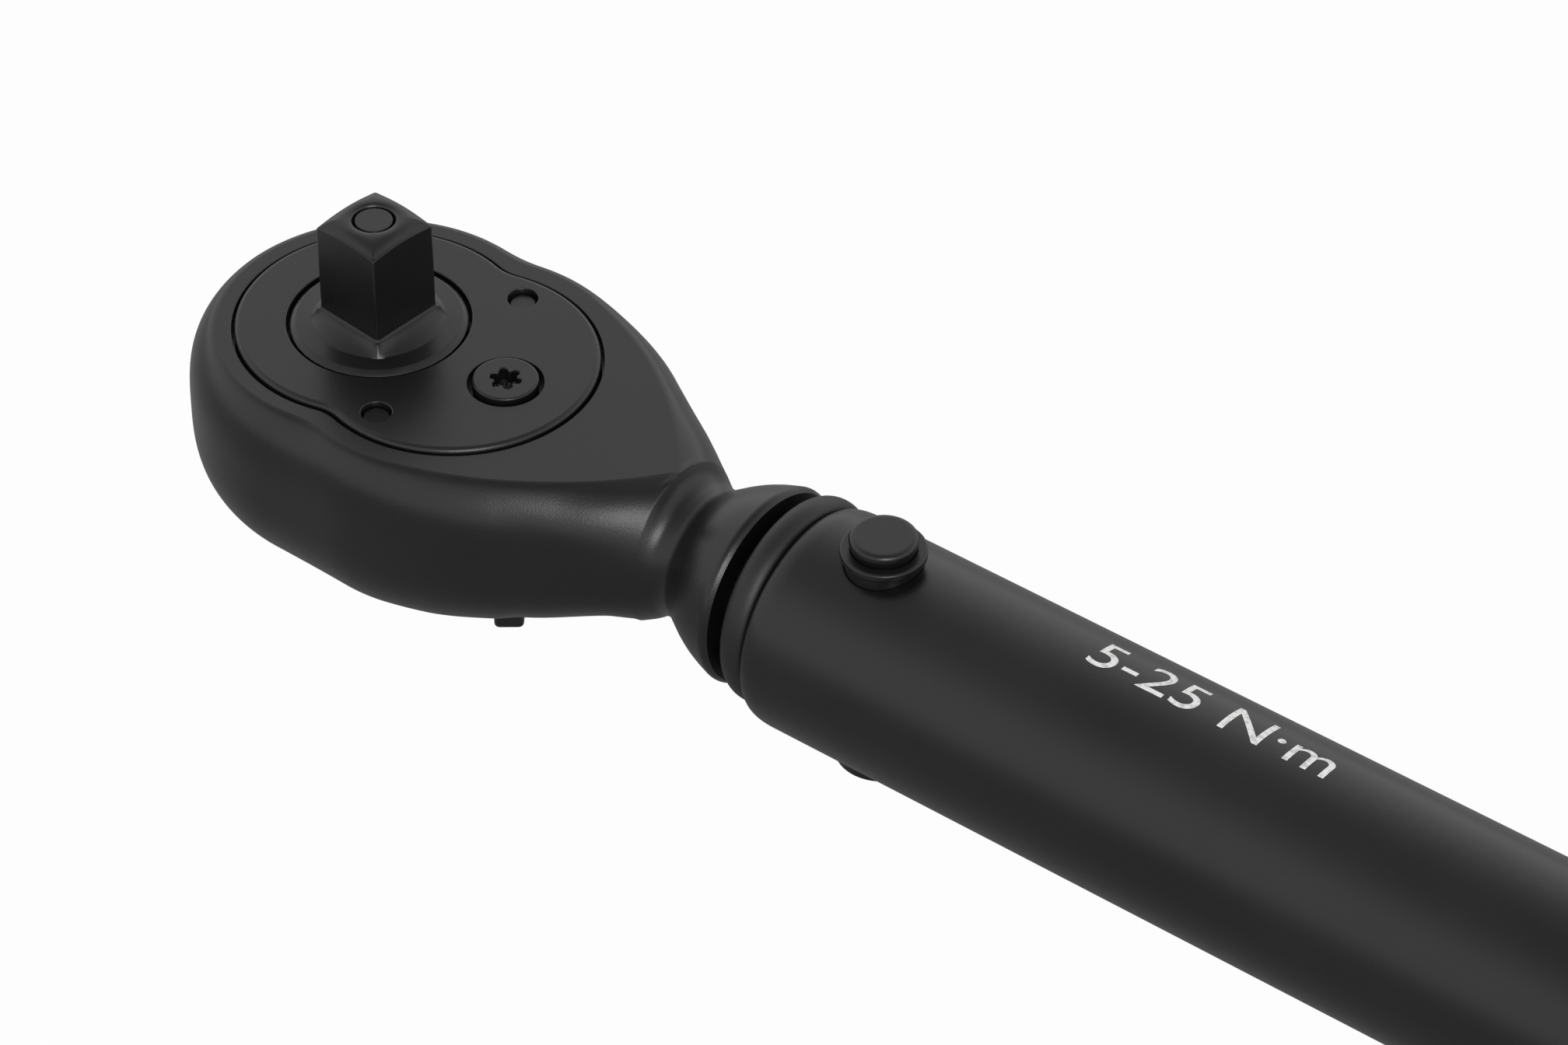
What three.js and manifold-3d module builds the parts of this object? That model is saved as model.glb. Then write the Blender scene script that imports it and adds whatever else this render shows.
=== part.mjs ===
// A click torque wrench with a 6.35 mm square drive: a reversible ratchet head on an arm that
// pivots in a steel tube, held by a sprung roller, with a window scale and a locking end knob.
// Millimetres. +X runs from the drive to the handle, +Z is the way the drive square points.
import * as THREE from "three";
import { mergeVertices } from "three/addons/utils/BufferGeometryUtils.js";
import Module from "manifold-3d";

const wasm = await Module();
wasm.setup();
const degrees = THREE.MathUtils.degToRad;

// ---- Driving dimensions -------------------------------------------------------------------

// Clearances
const fit = 0.1; // between pieces fixed to each other
const run = 0.15; // around a piece that turns or slides
const shadowGap = 0.22; // the line around the cover plate
const chamberGap = 0.45; // around the gear's teeth and the pawl

// Drive square and its quick release
const square = 6.35;
const squareReach = 9.9; // tip above the cover plate
const squareTwist = degrees(-5.5);
const squareShoulder = 3; // rounded corners below the tip
const tipRadius = 2.8; // flat of the tip
const tipHeight = 0.87; // rounding from the flat to the corners
const hillRadius = 5.35; // low hill on the disc, which the square stands in
const hillStep = 0.1;
const hillHeight = 1.05;
const journalRadius = 7.0; // the disc that fills the cover plate's hole
const journalRise = 0.15;
const rodRadius = 1.55;
const rodNeck = 1.35; // where the button is pressed on
const rodSink = 0.55; // rod's end below the tip
const rodMouth = 2.0; // countersink around it
const rodLand = 1.245; // rod's radius behind the ball
const ballSeat = 0.08; // play of the ball on it
const ballStandOut = 0.55;
const ballBelowTip = 3.6;
const pressTravel = 1.6;
const buttonRadius = 3.4;
const buttonStandOut = 2.3;
const buttonHeight = 4.9;
const releaseWire = 0.5;
const releaseTurns = 3;
const releaseLength = 4.0; // room for the release spring

// Gear and its snap ring
const toothCount = 36;
const gearTip = 8.65;
const toothDepth = 0.75;
const rearJournal = 5.6;
const ringReach = 1.3; // snap ring beyond the journal
const ringThickness = 0.8;
const ringSink = 1.1; // ring's inner face above the back of the head
const grooveDepth = 0.5;

// Pawl, reversing lever and the screw through the plate
const pawlStandOff = 4.15; // from the teeth to the pawl's pivot
const pawlSwing = degrees(6.5);
const pawlReach = degrees(33); // half the arc that the pawl spans on the gear
const pawlBare = degrees(17); // half the arc without teeth
const pawlThickness = 1.75;
const pawlHub = 5.0;
const heelDepth = 2.65; // from the pivot to the face that the spring presses
const heelHalfWidth = 3.7;
const leafThickness = 0.35;
const leafReach = 4.1;
const leverThrow = degrees(52); // each side of the middle
const leverShaft = 2.6;
const leverHub = 4.6;
const leverHubHeight = 1.6;
const leverReach = 8.8;
const leverBlade = 2.3;
const leverDrop = 2.95; // below the back of the head
const screwHead = 2.6;
const screwHeadGap = 0.37;
const screwShank = 1.5;
const screwLength = 3.4; // below the plate
const screwSeat = 1.1;
const screwProud = 0.4;

// Head and cover plate
const faceHeight = 7.6; // face above the tube's axis
const backDepth = 6.7; // back below the tube's axis
const floorThickness = 3.5;
const plateProud = 0.35;
const plateThickness = 1.6;
const plateLedge = 2.22; // ledge under the plate, around the gear
const plateLobe = 11.27;
const lobeOffset = 7.83; // from the drive axis to the second lobe
const waistBlend = 4;
const faceRim = 1.7; // face left around the plate's nose
const lobeRim = 1.98; // and around its lobe
const faceBlend = 10;
const faceTail = 17.2; // from the screw to the face's point
const ogiveRadius = 33.8;
const wallBulge = 2.1;
const wallTuck = 0.5; // how far the wall turns in at the back
const dowelAngle = degrees(50.7);
const dowelWall = 1.28; // metal between a dowel and the gear's chamber
const dowelRadius = 1.05;
const dowelSink = 0.45; // below the plate's face

// Neck, collar and pivot
const neckWaist = 5.7; // half its width
const waistTop = 6.1;
const waistUnder = 4.9;
const neckLength = 8.65; // from the face's point to the collar's rear
const collarStep = 0.55; // collar inside the tube's outline
const collarRise = 0.4; // its middle above the tube's axis
const pivotGap = 10.65; // from the collar's rear to the pivot
const armSideRoom = 3.0; // room beside the arm in the tube
const armCrownRoom = 3.3; // room above and below it
const armCorner = 0.6; // taken off the arm's corners
const tailLength = 38; // from the pivot to the end of the arm
const clickAngle = degrees(2.4);
const pinRadius = 2.64;
const pinStandOut = 2.45;
const bushWall = 0.58;
const footBushWall = 0.86; // of the lower bush, which the pin ends flush with
const bushStandOut = 1.27;

// Tube and the bead in its mouth
const tubeRadius = 8.95;
const tubeWall = 1.35;
const tubeLength = 193.7;
const mouthLead = 7.0; // from the mouth to the pivot
const mouthRounding = 1.7;
const mouthDrop = 0.4;
const sealWidth = 2.25;
const sealTuck = 1.6;
const sealWall = 1.0;

// Roller, plunger and main spring
const rollerRadius = 2.2;
const rollerHalfLength = 3.4;
const notchHalfAngle = degrees(55);
const notchLand = 0.7; // flat left each side of the notch
const plungerGap = 0.4;
const plungerLength = 16;
const springPocket = 8;
const pocketGap = 0.3; // round the spring in its pocket
const mainWire = 2.0;
const mainTurns = 8;
const washerThickness = 1.2;

// Nut, scale and adjusting screw
const scaleTravel = 10; // each way from the middle
const nutLength = 14;
const screwRadius = 3;
const screwLead = 6; // screw beyond the nut
const screwCollar = 3.4;
const stripHalfWidth = 2.55;
const stripThickness = 0.65;
const bushInside = 14; // rear bush inside the tube

// Grip, window and sleeve
const gripLength = 89;
const gripBeyondTube = 3;
const gripWall = 4.65; // from the tube to the ribs of the sleeve
const gripCorner = 0.04; // how far the corners rise, as a share
const windowLead = 13; // from the grip's front
const windowLength = 25;
const windowHalfWidth = 2.4;
const lensHalfWidth = 4.2;
const lensRim = 2;
const sleeveLead = 7; // from the window to the sleeve
const sleeveLength = 29;
const sleeveThickness = 1.6;
const ribPitch = 6;
const ribHeight = 0.8;
const gripPin = 1.5;
const gripPinLead = 10; // from the sleeve's front

// End knob and lock
const knobLength = 27;
const knobInset = 0.4; // below the grip's flats
const knobFlutes = 12;
const fluteDepth = 0.68;
const knobRecess = 8;
const knobScrewHead = 3.8;
const capRadius = 4.3;
const capThickness = 3.35;
const lockLead = 3; // from the sleeve to the slider
const lockHalfWidth = 3;
const lockWall = 1.35; // grip left under the slider
const lockTravel = 2.5;
const tongueHalfWidth = 0.95;
const tongueHeight = 1.4;

// ---- Derived places -----------------------------------------------------------------------

const plateTop = faceHeight + plateProud;
const plateBottom = plateTop - plateThickness;
const plateNose = gearTip + chamberGap + plateLedge;
const squareTip = plateTop + squareReach;
const ballHeight = squareTip - ballBelowTip;
const ballRadius = (square / 2 + ballStandOut - rodLand - ballSeat) / 2;
const headBack = -backDepth;
const pocketFloor = headBack + floorThickness;
const gearTop = plateBottom - run;
const gearBottom = pocketFloor + run;
const ringTop = headBack + ringSink;
const buttonBottom = headBack - buttonStandOut;
const buttonTop = buttonBottom + buttonHeight;
const chamberTop = buttonTop + releaseLength;
const dowelRing = gearTip + chamberGap + dowelWall + dowelRadius;
const dowelPlace = [dowelRing * Math.cos(dowelAngle), dowelRing * Math.sin(dowelAngle)];
const screwOffset = gearTip + pawlStandOff;
const pawlTop = gearTop - 0.4;
const pawlBottom = gearBottom + 0.3;
const screwBore = plateBottom - screwLength - 0.6;
const faceTip = screwOffset + faceTail;
const collarRear = faceTip + neckLength;
const pivotOffset = collarRear + pivotGap;
const tubeBore = tubeRadius - tubeWall;
const collarRadius = tubeRadius - collarStep;
const sealRadius = tubeRadius - mouthDrop;
const armHalfWidth = tubeBore - armSideRoom;
const armHalfHeight = tubeBore - armCrownRoom;
const tubeFront = pivotOffset - mouthLead;
const tubeRear = tubeFront + tubeLength;
const tailEnd = pivotOffset + tailLength;
const notchDepth = (armHalfWidth - notchLand) / Math.tan(notchHalfAngle);
const notchApex = tailEnd - notchDepth;
const rollerAt = notchApex + (rollerRadius + run) / Math.sin(notchHalfAngle);
const plungerRadius = tubeBore - run;
const plungerFront = tailEnd + plungerGap;
const plungerRear = plungerFront + plungerLength;
const gripRear = tubeRear + gripBeyondTube;
const gripFront = gripRear - gripLength;
const gripBore = tubeRadius + fit;
const gripRadius = tubeRadius + gripWall;
const windowFront = gripFront + windowLead;
const windowRear = windowFront + windowLength;
const windowMiddle = (windowFront + windowRear) / 2;
const sleeveFront = windowRear + sleeveLead;
const sleeveRear = sleeveFront + sleeveLength;
const sleeveCore = gripRadius - ribHeight - sleeveThickness;
const gripPinAt = sleeveFront + gripPinLead;
const scaleTop = Math.sqrt((tubeBore - run) ** 2 - stripHalfWidth ** 2);
const scaleFloor = scaleTop - stripThickness;
const mainRadius = scaleFloor - pocketGap - mainWire / 2;
const nutFront = windowMiddle - nutLength / 2;
const springFront = plungerRear - springPocket + fit;
const springRear = nutFront - washerThickness - 2 * fit;
const bushFront = tubeRear - bushInside;
const thrustFront = bushFront - washerThickness - run;
const lockFront = sleeveRear + lockLead;
const lockFloor = gripBore + lockWall;
const lockRear = gripRear - lockTravel - 0.6;
const knobFront = gripRear + 1;
const knobRear = knobFront + knobLength;
const knobRadius = gripRadius - knobInset;

// ---- Helpers ------------------------------------------------------------------------------

const TAU = 2 * Math.PI;
const v2 = (x, y) => new THREE.Vector2(x, y);
const v3 = (x, y, z) => new THREE.Vector3(x, y, z);

// A closed geometry as a solid that can be joined and cut.
function solid(geometry) {
  const bare = geometry.index ? geometry.toNonIndexed() : geometry.clone();
  for (const name of Object.keys(bare.attributes)) {
    if (name !== "position") bare.deleteAttribute(name);
  }
  const merged = mergeVertices(bare, 1e-4);
  return new wasm.Manifold(
    new wasm.Mesh({
      numProp: 3,
      vertProperties: new Float32Array(merged.attributes.position.array),
      triVerts: new Uint32Array(merged.index.array),
    })
  );
}

// The solid back as a geometry with flat facets.
function facets(shape) {
  const mesh = shape.getMesh();
  const geometry = new THREE.BufferGeometry();
  geometry.setAttribute("position", new THREE.BufferAttribute(mesh.vertProperties, 3));
  geometry.setIndex(new THREE.BufferAttribute(mesh.triVerts, 1));
  const flat = geometry.toNonIndexed();
  flat.computeVertexNormals();
  return flat;
}

const joined = (first, ...more) =>
  facets(more.reduce((sum, geometry) => sum.add(solid(geometry)), solid(first)));

const cut = (first, ...tools) =>
  facets(tools.reduce((rest, geometry) => rest.subtract(solid(geometry)), solid(first)));

const common = (first, second) => facets(solid(first).intersect(solid(second)));

// A profile of [radius, height] pairs turned round the Z axis.
function turned(profile, segments = 24) {
  const points = profile.map(([r, h]) => v2(r, h));
  if (THREE.ShapeUtils.area(points) < 0) points.reverse();
  const tubular = profile[0][0] > 0 || profile[profile.length - 1][0] > 0;
  if (tubular) points.push(points[0].clone());
  return new THREE.LatheGeometry(points, segments).rotateX(Math.PI / 2);
}

// The same round the X axis, with [x, radius] pairs.
const zToX = new THREE.Matrix4().set(0, 0, 1, 0, 0, 1, 0, 0, -1, 0, 0, 0, 0, 0, 0, 1);
const turnedX = (profile, segments = 24) =>
  turned(profile.map(([x, r]) => [r, x]), segments).applyMatrix4(zToX);

const disc = (radius, low, high, x = 0, y = 0, segments = 24) =>
  turned([[0, low], [radius, low], [radius, high], [0, high]], segments).translate(x, y, 0);

const discX = (radius, from, to, segments = 24) =>
  turnedX([[from, 0], [from, radius], [to, radius], [to, 0]], segments);

const sleeveX = (inner, outer, from, to, segments = 24) =>
  turnedX([[from, inner], [from, outer], [to, outer], [to, inner]], segments);

function block(x0, x1, halfWidth, z0, z1) {
  return new THREE.BoxGeometry(x1 - x0, 2 * halfWidth, z1 - z0)
    .translate((x0 + x1) / 2, 0, (z0 + z1) / 2);
}

// An outline of points in the XY plane, raised from low to high.
function raised(points, low, high, bevel = 0) {
  return new THREE.ExtrudeGeometry(new THREE.Shape(points), {
    depth: high - low - 2 * bevel,
    bevelEnabled: bevel > 0,
    bevelThickness: bevel,
    bevelSize: bevel,
    bevelOffset: -bevel,
    bevelSegments: 1,
  }).translate(0, 0, low + bevel);
}

// Rings of equally many points, skinned in order and capped at both ends.
function loft(rings) {
  const count = rings[0].length;
  const index = [];
  for (let i = 0; i + 1 < rings.length; i++) {
    for (let j = 0; j < count; j++) {
      const a = i * count + j;
      const b = i * count + ((j + 1) % count);
      index.push(a, b, b + count, a, b + count, a + count);
    }
  }
  const middle = (ring) => ring.reduce((sum, p) => sum.add(p), v3(0, 0, 0)).divideScalar(count);
  const first = rings.length * count;
  const last = (rings.length - 1) * count;
  for (let j = 0; j < count; j++) {
    const next = (j + 1) % count;
    index.push(first, next, j, first + 1, last + j, last + next);
  }
  const points = [...rings.flat(), middle(rings[0]), middle(rings[rings.length - 1])];
  const geometry = new THREE.BufferGeometry().setFromPoints(points);
  geometry.setIndex(index);
  geometry.computeVertexNormals();
  return geometry;
}

class Helix extends THREE.Curve {
  constructor(radius, turns, length) {
    super();
    Object.assign(this, { radius, turns, length });
  }
  getPoint(t, target = v3()) {
    const angle = TAU * this.turns * t;
    return target.set(this.radius * Math.cos(angle), this.radius * Math.sin(angle), this.length * t);
  }
}

// A wire spring along +Z, round an axis through the origin.
function coil(radius, wire, turns, length) {
  const section = new THREE.Shape().absarc(0, 0, wire / 2, 0, TAU, false);
  return new THREE.ExtrudeGeometry(section, {
    steps: Math.round(turns * 8),
    curveSegments: 2,
    extrudePath: new Helix(radius, turns, length),
    bevelEnabled: false,
  });
}

// Points of an arc between two angles; the last is left to what follows.
function arc(cx, cy, radius, from, to, segments) {
  return Array.from({ length: segments }, (_, i) => {
    const angle = from + ((to - from) * i) / segments;
    return v2(cx + radius * Math.cos(angle), cy + radius * Math.sin(angle));
  });
}

const at = (radius, angle) => v2(radius * Math.cos(angle), radius * Math.sin(angle));

// Where two circles centred on the X axis cross, on the side of positive y.
function crossing(xa, ra, xb, rb) {
  const x = xa + (ra * ra - rb * rb + (xb - xa) ** 2) / (2 * (xb - xa));
  return v2(x, Math.sqrt(ra * ra - (x - xa) ** 2));
}

// Half an outline, from point to point of the X axis, with its mirror image.
const mirrored = (half) => [...half, ...half.slice(1, -1).reverse().map((p) => v2(p.x, -p.y))];

function piece(name, geometry, material, x = 0, y = 0, z = 0) {
  const mesh = new THREE.Mesh(geometry, material);
  mesh.name = name;
  mesh.position.set(x, y, z);
  return mesh;
}

// ---- Materials ----------------------------------------------------------------------------

const paint = (color, roughness, metalness) =>
  new THREE.MeshStandardMaterial({ color, roughness, metalness });
const blackedCasting = paint(0x2b2b2c, 0.5, 0.6);
const blackedSteel = paint(0x303032, 0.42, 0.7);
const blackedTube = paint(0x242425, 0.45, 0.6);
const springSteel = paint(0x8d8f92, 0.3, 1);
const brightSteel = paint(0xb9bbbe, 0.25, 1);
const brass = paint(0xb08d4a, 0.35, 1);
const blackRubber = paint(0x1a1a1a, 0.8, 0);
const blackPlastic = paint(0x222224, 0.6, 0);
const softPlastic = paint(0x2d2e31, 0.85, 0);
const greyPlastic = paint(0x5b5d61, 0.6, 0);
const scaleWhite = paint(0xe8e6df, 0.6, 0);
const clearPlastic = paint(0xdfe6ea, 0.1, 0);

// ---- Outlines of the head -----------------------------------------------------------------

// Nose arc and a second lobe behind it, blended by a hollow on each side.
function lobes(nose, lobe, blend) {
  const hollow = crossing(0, nose + blend, lobeOffset, lobe + blend);
  const fromNose = Math.atan2(hollow.y, hollow.x);
  const fromLobe = Math.atan2(hollow.y, hollow.x - lobeOffset);
  const front = [
    ...arc(0, 0, nose, Math.PI, fromNose, 10),
    ...arc(hollow.x, hollow.y, blend, fromNose - Math.PI, fromLobe - Math.PI, 3),
  ];
  return { front, fromLobe };
}

function plateOutline(grow) {
  const lobe = plateLobe + grow;
  const { front, fromLobe } = lobes(plateNose + grow, lobe, waistBlend - grow);
  const half = [...front, ...arc(lobeOffset, 0, lobe, fromLobe, 0, 9), v2(lobeOffset + lobe, 0)];
  return mirrored(half.reverse());
}

// The face of the head: the plate's outline grown by its rim, drawn out to a pointed tail.
function headOutline(grow) {
  const lobe = plateLobe + lobeRim + grow;
  const { front, fromLobe } = lobes(plateNose + faceRim + grow, lobe, faceBlend - grow);
  const radius = ogiveRadius + grow;
  const span = ogiveRadius - plateLobe - lobeRim;
  const centre = crossing(lobeOffset, span, faceTip, ogiveRadius);
  const tangent = Math.atan2(centre.y, lobeOffset - centre.x);
  const end = Math.asin(centre.y / radius);
  const half = [
    ...front,
    ...arc(lobeOffset, 0, lobe, fromLobe, tangent, 3),
    ...arc(centre.x, -centre.y, radius, tangent, end, 7),
    v2(centre.x + radius * Math.cos(end), 0),
  ];
  return mirrored(half.reverse());
}

// ---- Ratchet head with its neck and arm ---------------------------------------------------

function headShell() {
  const depth = faceHeight - headBack;
  const levels = [0, 0.05, 0.2, 0.5, 0.8, 0.95, 1];
  const grow = (t) => wallBulge * (1 - Math.abs(2 * t - 1) ** 2.6) - (t === 0 ? wallTuck : 0);
  return loft(levels.map((t) =>
    headOutline(grow(t)).map((p) => v3(p.x, p.y, headBack + depth * t))));
}

// Waisted neck that flares into the collar: place along X, half width, height above the
// tube's axis and depth below it.
function neck() {
  const waistAt = collarRear - 6.05;
  const top = faceHeight - 0.1;
  const under = backDepth - 0.1;
  const collarTop = collarRadius + collarRise;
  const collarFoot = collarRadius - collarRise;
  const stations = [
    [waistAt - 13, neckWaist + 4.9, top, under],
    [waistAt - 9.6, neckWaist + 3.9, top, under],
    [waistAt - 6.6, neckWaist + 2.8, top, under],
    [waistAt - 3.1, neckWaist + 1.3, top, under],
    [waistAt - 2.3, neckWaist + 0.5, waistTop + 0.6, waistUnder + 1.3],
    [waistAt - 1.1, neckWaist + 0.1, waistTop + 0.1, waistUnder + 0.3],
    [waistAt, neckWaist, waistTop, waistUnder],
    [waistAt + 1, neckWaist + 0.4, waistTop + 0.3, waistUnder + 0.7],
    [waistAt + 2.4, neckWaist + 1.4, waistTop + 1.2, waistUnder + 2],
    [waistAt + 3.8, collarRadius - 0.25, collarTop - 0.2, collarFoot - 0.3],
    [waistAt + 5, collarRadius, collarTop, collarFoot],
    [collarRear - 0.35, collarRadius, collarTop, collarFoot],
    [collarRear, collarRadius - 0.3, collarTop - 0.3, collarFoot - 0.3],
  ];
  return loft(stations.map(([x, half, above, below]) =>
    arc(0, 0, 1, 0, TAU, 28).map((p) => v3(x, half * p.x, (p.y > 0 ? above : below) * p.y))));
}

function arm() {
  const bar = block(collarRear - 4, tailEnd, armHalfWidth, -armHalfHeight, armHalfHeight);
  const corner = Math.hypot(armHalfWidth, armHalfHeight) - armCorner;
  const notch = raised([
    v2(notchApex, 0),
    v2(tailEnd + 1, -(notchDepth + 1) * Math.tan(notchHalfAngle)),
    v2(tailEnd + 1, (notchDepth + 1) * Math.tan(notchHalfAngle)),
  ], -tubeRadius, tubeRadius);
  return cut(common(bar, discX(corner, collarRear - 5, tailEnd + 1, 32)), notch);
}

function ratchetHead() {
  const over = plateTop + 1;
  const under = headBack - 1;
  const sweep = pawlReach + pawlSwing;
  const pawlRoom = [
    ...arc(0, 0, gearTip + pawlThickness + 1, -sweep, sweep, 12),
    at(gearTip + pawlThickness + 1, sweep),
    at(journalRadius, sweep),
    at(journalRadius, -sweep),
  ];
  return cut(
    joined(headShell(), neck(), arm()),
    raised(plateOutline(shadowGap), plateBottom - fit, over),
    disc(gearTip + chamberGap, pocketFloor, over, 0, 0, 32),
    disc(pawlHub + chamberGap, pocketFloor, over, screwOffset),
    raised(pawlRoom, pocketFloor, over),
    disc(rearJournal + run, under, over),
    disc(rearJournal + ringReach + chamberGap, under, ringTop + run),
    disc(leverShaft + run, under, over, screwOffset),
    disc(dowelRadius + fit, pocketFloor, over, dowelPlace[0], dowelPlace[1], 16),
    disc(dowelRadius + fit, pocketFloor, over, dowelPlace[0], -dowelPlace[1], 16),
    disc(pinRadius + run, -tubeRadius, tubeRadius, pivotOffset)
  );
}

// ---- Cover plate and its fasteners --------------------------------------------------------

function coverPlate() {
  const low = plateBottom - 1;
  const high = plateTop + 1;
  return cut(
    raised(plateOutline(0), plateBottom, plateTop, 0.35),
    disc(journalRadius + 0.25, low, high, 0, 0, 32),
    disc(screwHead + screwHeadGap, plateTop - screwSeat, high, screwOffset),
    disc(screwShank + run, low, high, screwOffset, 0, 16),
    disc(dowelRadius + run, low, high, dowelPlace[0], dowelPlace[1], 16),
    disc(dowelRadius + run, low, high, dowelPlace[0], -dowelPlace[1], 16)
  );
}

// Flat head with a six-lobe socket, screwed into the lever's shaft.
function coverScrew() {
  const top = plateTop + screwProud;
  const seat = plateTop - screwSeat + fit;
  const end = plateBottom - screwLength;
  const body = turned([
    [0, end], [screwShank, end], [screwShank, seat], [screwHead, seat],
    [screwHead, top - 0.25], [screwHead - 0.25, top], [0, top],
  ]);
  const socket = Array.from({ length: 24 }, (_, i) => {
    const angle = (TAU * i) / 24;
    return at(1.13 + 0.22 * Math.cos(6 * angle), angle);
  });
  return cut(body, raised(socket, top - 1.3, top + 1));
}

function dowel() {
  const foot = pocketFloor + fit;
  const top = plateTop - dowelSink;
  return turned([
    [0, foot], [dowelRadius, foot], [dowelRadius, top - 0.2], [dowelRadius - 0.2, top], [0, top],
  ], 16);
}

// ---- Drive: gear, square and quick release ------------------------------------------------

// Ratchet teeth as symmetric ridges, with each flank moved out by the gap asked for.
function gearOutline(gap) {
  const pitch = TAU / toothCount;
  const ridge = [[-0.42, -toothDepth], [-0.06, 0], [0.06, 0], [0.42, -toothDepth]];
  const points = [];
  for (let tooth = 0; tooth < toothCount; tooth++) {
    for (const [share, drop] of ridge) {
      const widen = (Math.sign(share) * (drop < 0 ? 0.3 : 1) * gap) / gearTip;
      points.push(at(gearTip + drop + gap, (tooth + share) * pitch + widen));
    }
  }
  return points;
}

function driveSquare() {
  const half = square / 2;
  const corner = half * Math.SQRT2;
  const post = turned([
    [0, gearTop], [square, gearTop], [square, squareTip - squareShoulder],
    [corner, squareTip - tipHeight], [tipRadius, squareTip], [0, squareTip],
  ], 28);
  return common(post, block(-half, half, half, gearTop, squareTip + 1));
}

function driveGear() {
  const shoulder = plateTop + journalRise;
  const foot = headBack - 0.2;
  const root = gearTip - toothDepth - 0.4;
  const groove = rearJournal - grooveDepth;
  const core = turned([
    [0, foot], [rearJournal, foot],
    [rearJournal, ringTop - ringThickness - fit], [groove, ringTop - ringThickness - fit],
    [groove, ringTop + fit], [rearJournal, ringTop + fit],
    [rearJournal, gearBottom], [root, gearBottom], [root, gearTop],
    [journalRadius, gearTop], [journalRadius, shoulder - 0.4], [journalRadius - 0.35, shoulder],
    [0, shoulder],
  ], 28);
  const slope = [0, 0.35, 0.65, 1].map((t) =>
    [hillRadius - (hillRadius - square / 2) * t, shoulder + hillStep + hillHeight * t * t]);
  const hill = turned([[0, gearTop], [hillRadius, gearTop], ...slope, [0, slope[3][1]]], 28);
  const ballHole = disc(ballRadius + run, 0, square)
    .rotateX(-Math.PI / 2)
    .translate(0, 0, ballHeight);
  const mouth = turned([
    [0, squareTip - rodSink], [rodRadius, squareTip - rodSink],
    [rodMouth, squareTip + fit], [0, squareTip + fit],
  ]);
  const teeth = raised(gearOutline(0), gearBottom, gearTop).rotateZ(-squareTwist);
  return cut(
    joined(core, teeth, driveSquare(), hill),
    disc(rodRadius + run, headBack, squareTip + 1),
    mouth,
    disc(buttonRadius + run, headBack - 1, chamberTop),
    ballHole
  ).rotateZ(squareTwist);
}

// Snap ring in the journal's groove, open at one side.
function retainingRing() {
  const low = ringTop - ringThickness;
  const inner = rearJournal - grooveDepth + fit;
  const outer = rearJournal + ringReach;
  const ring = turned([[inner, low], [outer, low], [outer, ringTop], [inner, ringTop]], 28);
  return cut(ring, block(0, outer + 1, 1, low - 1, ringTop + 1));
}

// Rod from the button to the tip, with the groove that lets the ball in.
function releaseRod() {
  const groove = rodLand - ballStandOut;
  const foot = buttonBottom + 1;
  const top = squareTip - rodSink;
  return turned([
    [0, foot], [rodNeck, foot], [rodNeck, chamberTop - 1],
    [rodRadius, chamberTop], [rodRadius, ballHeight - pressTravel - 1.7],
    [groove, ballHeight - pressTravel - 1], [groove, ballHeight - pressTravel + 0.3],
    [rodLand, ballHeight], [rodLand, ballHeight + 0.6], [rodRadius, ballHeight + 1.2],
    [rodRadius, top - 0.2], [rodRadius - 0.2, top], [0, top],
  ], 16);
}

function releaseButton() {
  const body = turned([
    [0, buttonBottom], [buttonRadius - 0.7, buttonBottom], [buttonRadius - 0.2, buttonBottom + 0.25],
    [buttonRadius, buttonBottom + 0.8], [buttonRadius, buttonTop], [0, buttonTop],
  ]);
  return cut(body, disc(rodNeck + fit, buttonBottom + 1 - fit, buttonTop + 1, 0, 0, 16));
}

const releaseSpring = () =>
  coil((buttonRadius + rodNeck) / 2, releaseWire, releaseTurns, releaseLength - 2 * fit - releaseWire)
    .translate(0, 0, buttonTop + fit + releaseWire / 2);

// ---- Pawl and reversing lever (origin on their shared axis) --------------------------------

// Jaw that spans the gear, with teeth at both ends cut at the two places where it meshes.
function pawl() {
  const inner = gearTip - toothDepth + fit;
  const outer = gearTip + pawlThickness;
  const low = pawlBottom - 1;
  const high = pawlTop + 1;
  const jaw = [
    ...arc(0, 0, outer, -pawlReach, pawlReach, 16),
    at(outer, pawlReach),
    ...arc(0, 0, inner, pawlReach, -pawlReach, 16),
    at(inner, -pawlReach),
  ];
  const bare = [
    v2(0, 0),
    ...arc(0, 0, gearTip + 0.6, -pawlBare, pawlBare, 8),
    at(gearTip + 0.6, pawlBare),
  ];
  const meshed = (swing) => raised(gearOutline(run), low, high).translate(-screwOffset, 0, 0).rotateZ(-swing);
  return cut(
    joined(
      raised(jaw, pawlBottom, pawlTop).translate(-screwOffset, 0, 0),
      disc(pawlHub, pawlBottom, pawlTop)
    ),
    disc(leverShaft + run, low, high),
    block(0, heelDepth, heelHalfWidth, low, high),
    meshed(pawlSwing),
    meshed(-pawlSwing),
    raised(bare, low, high).translate(-screwOffset, 0, 0)
  );
}

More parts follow.
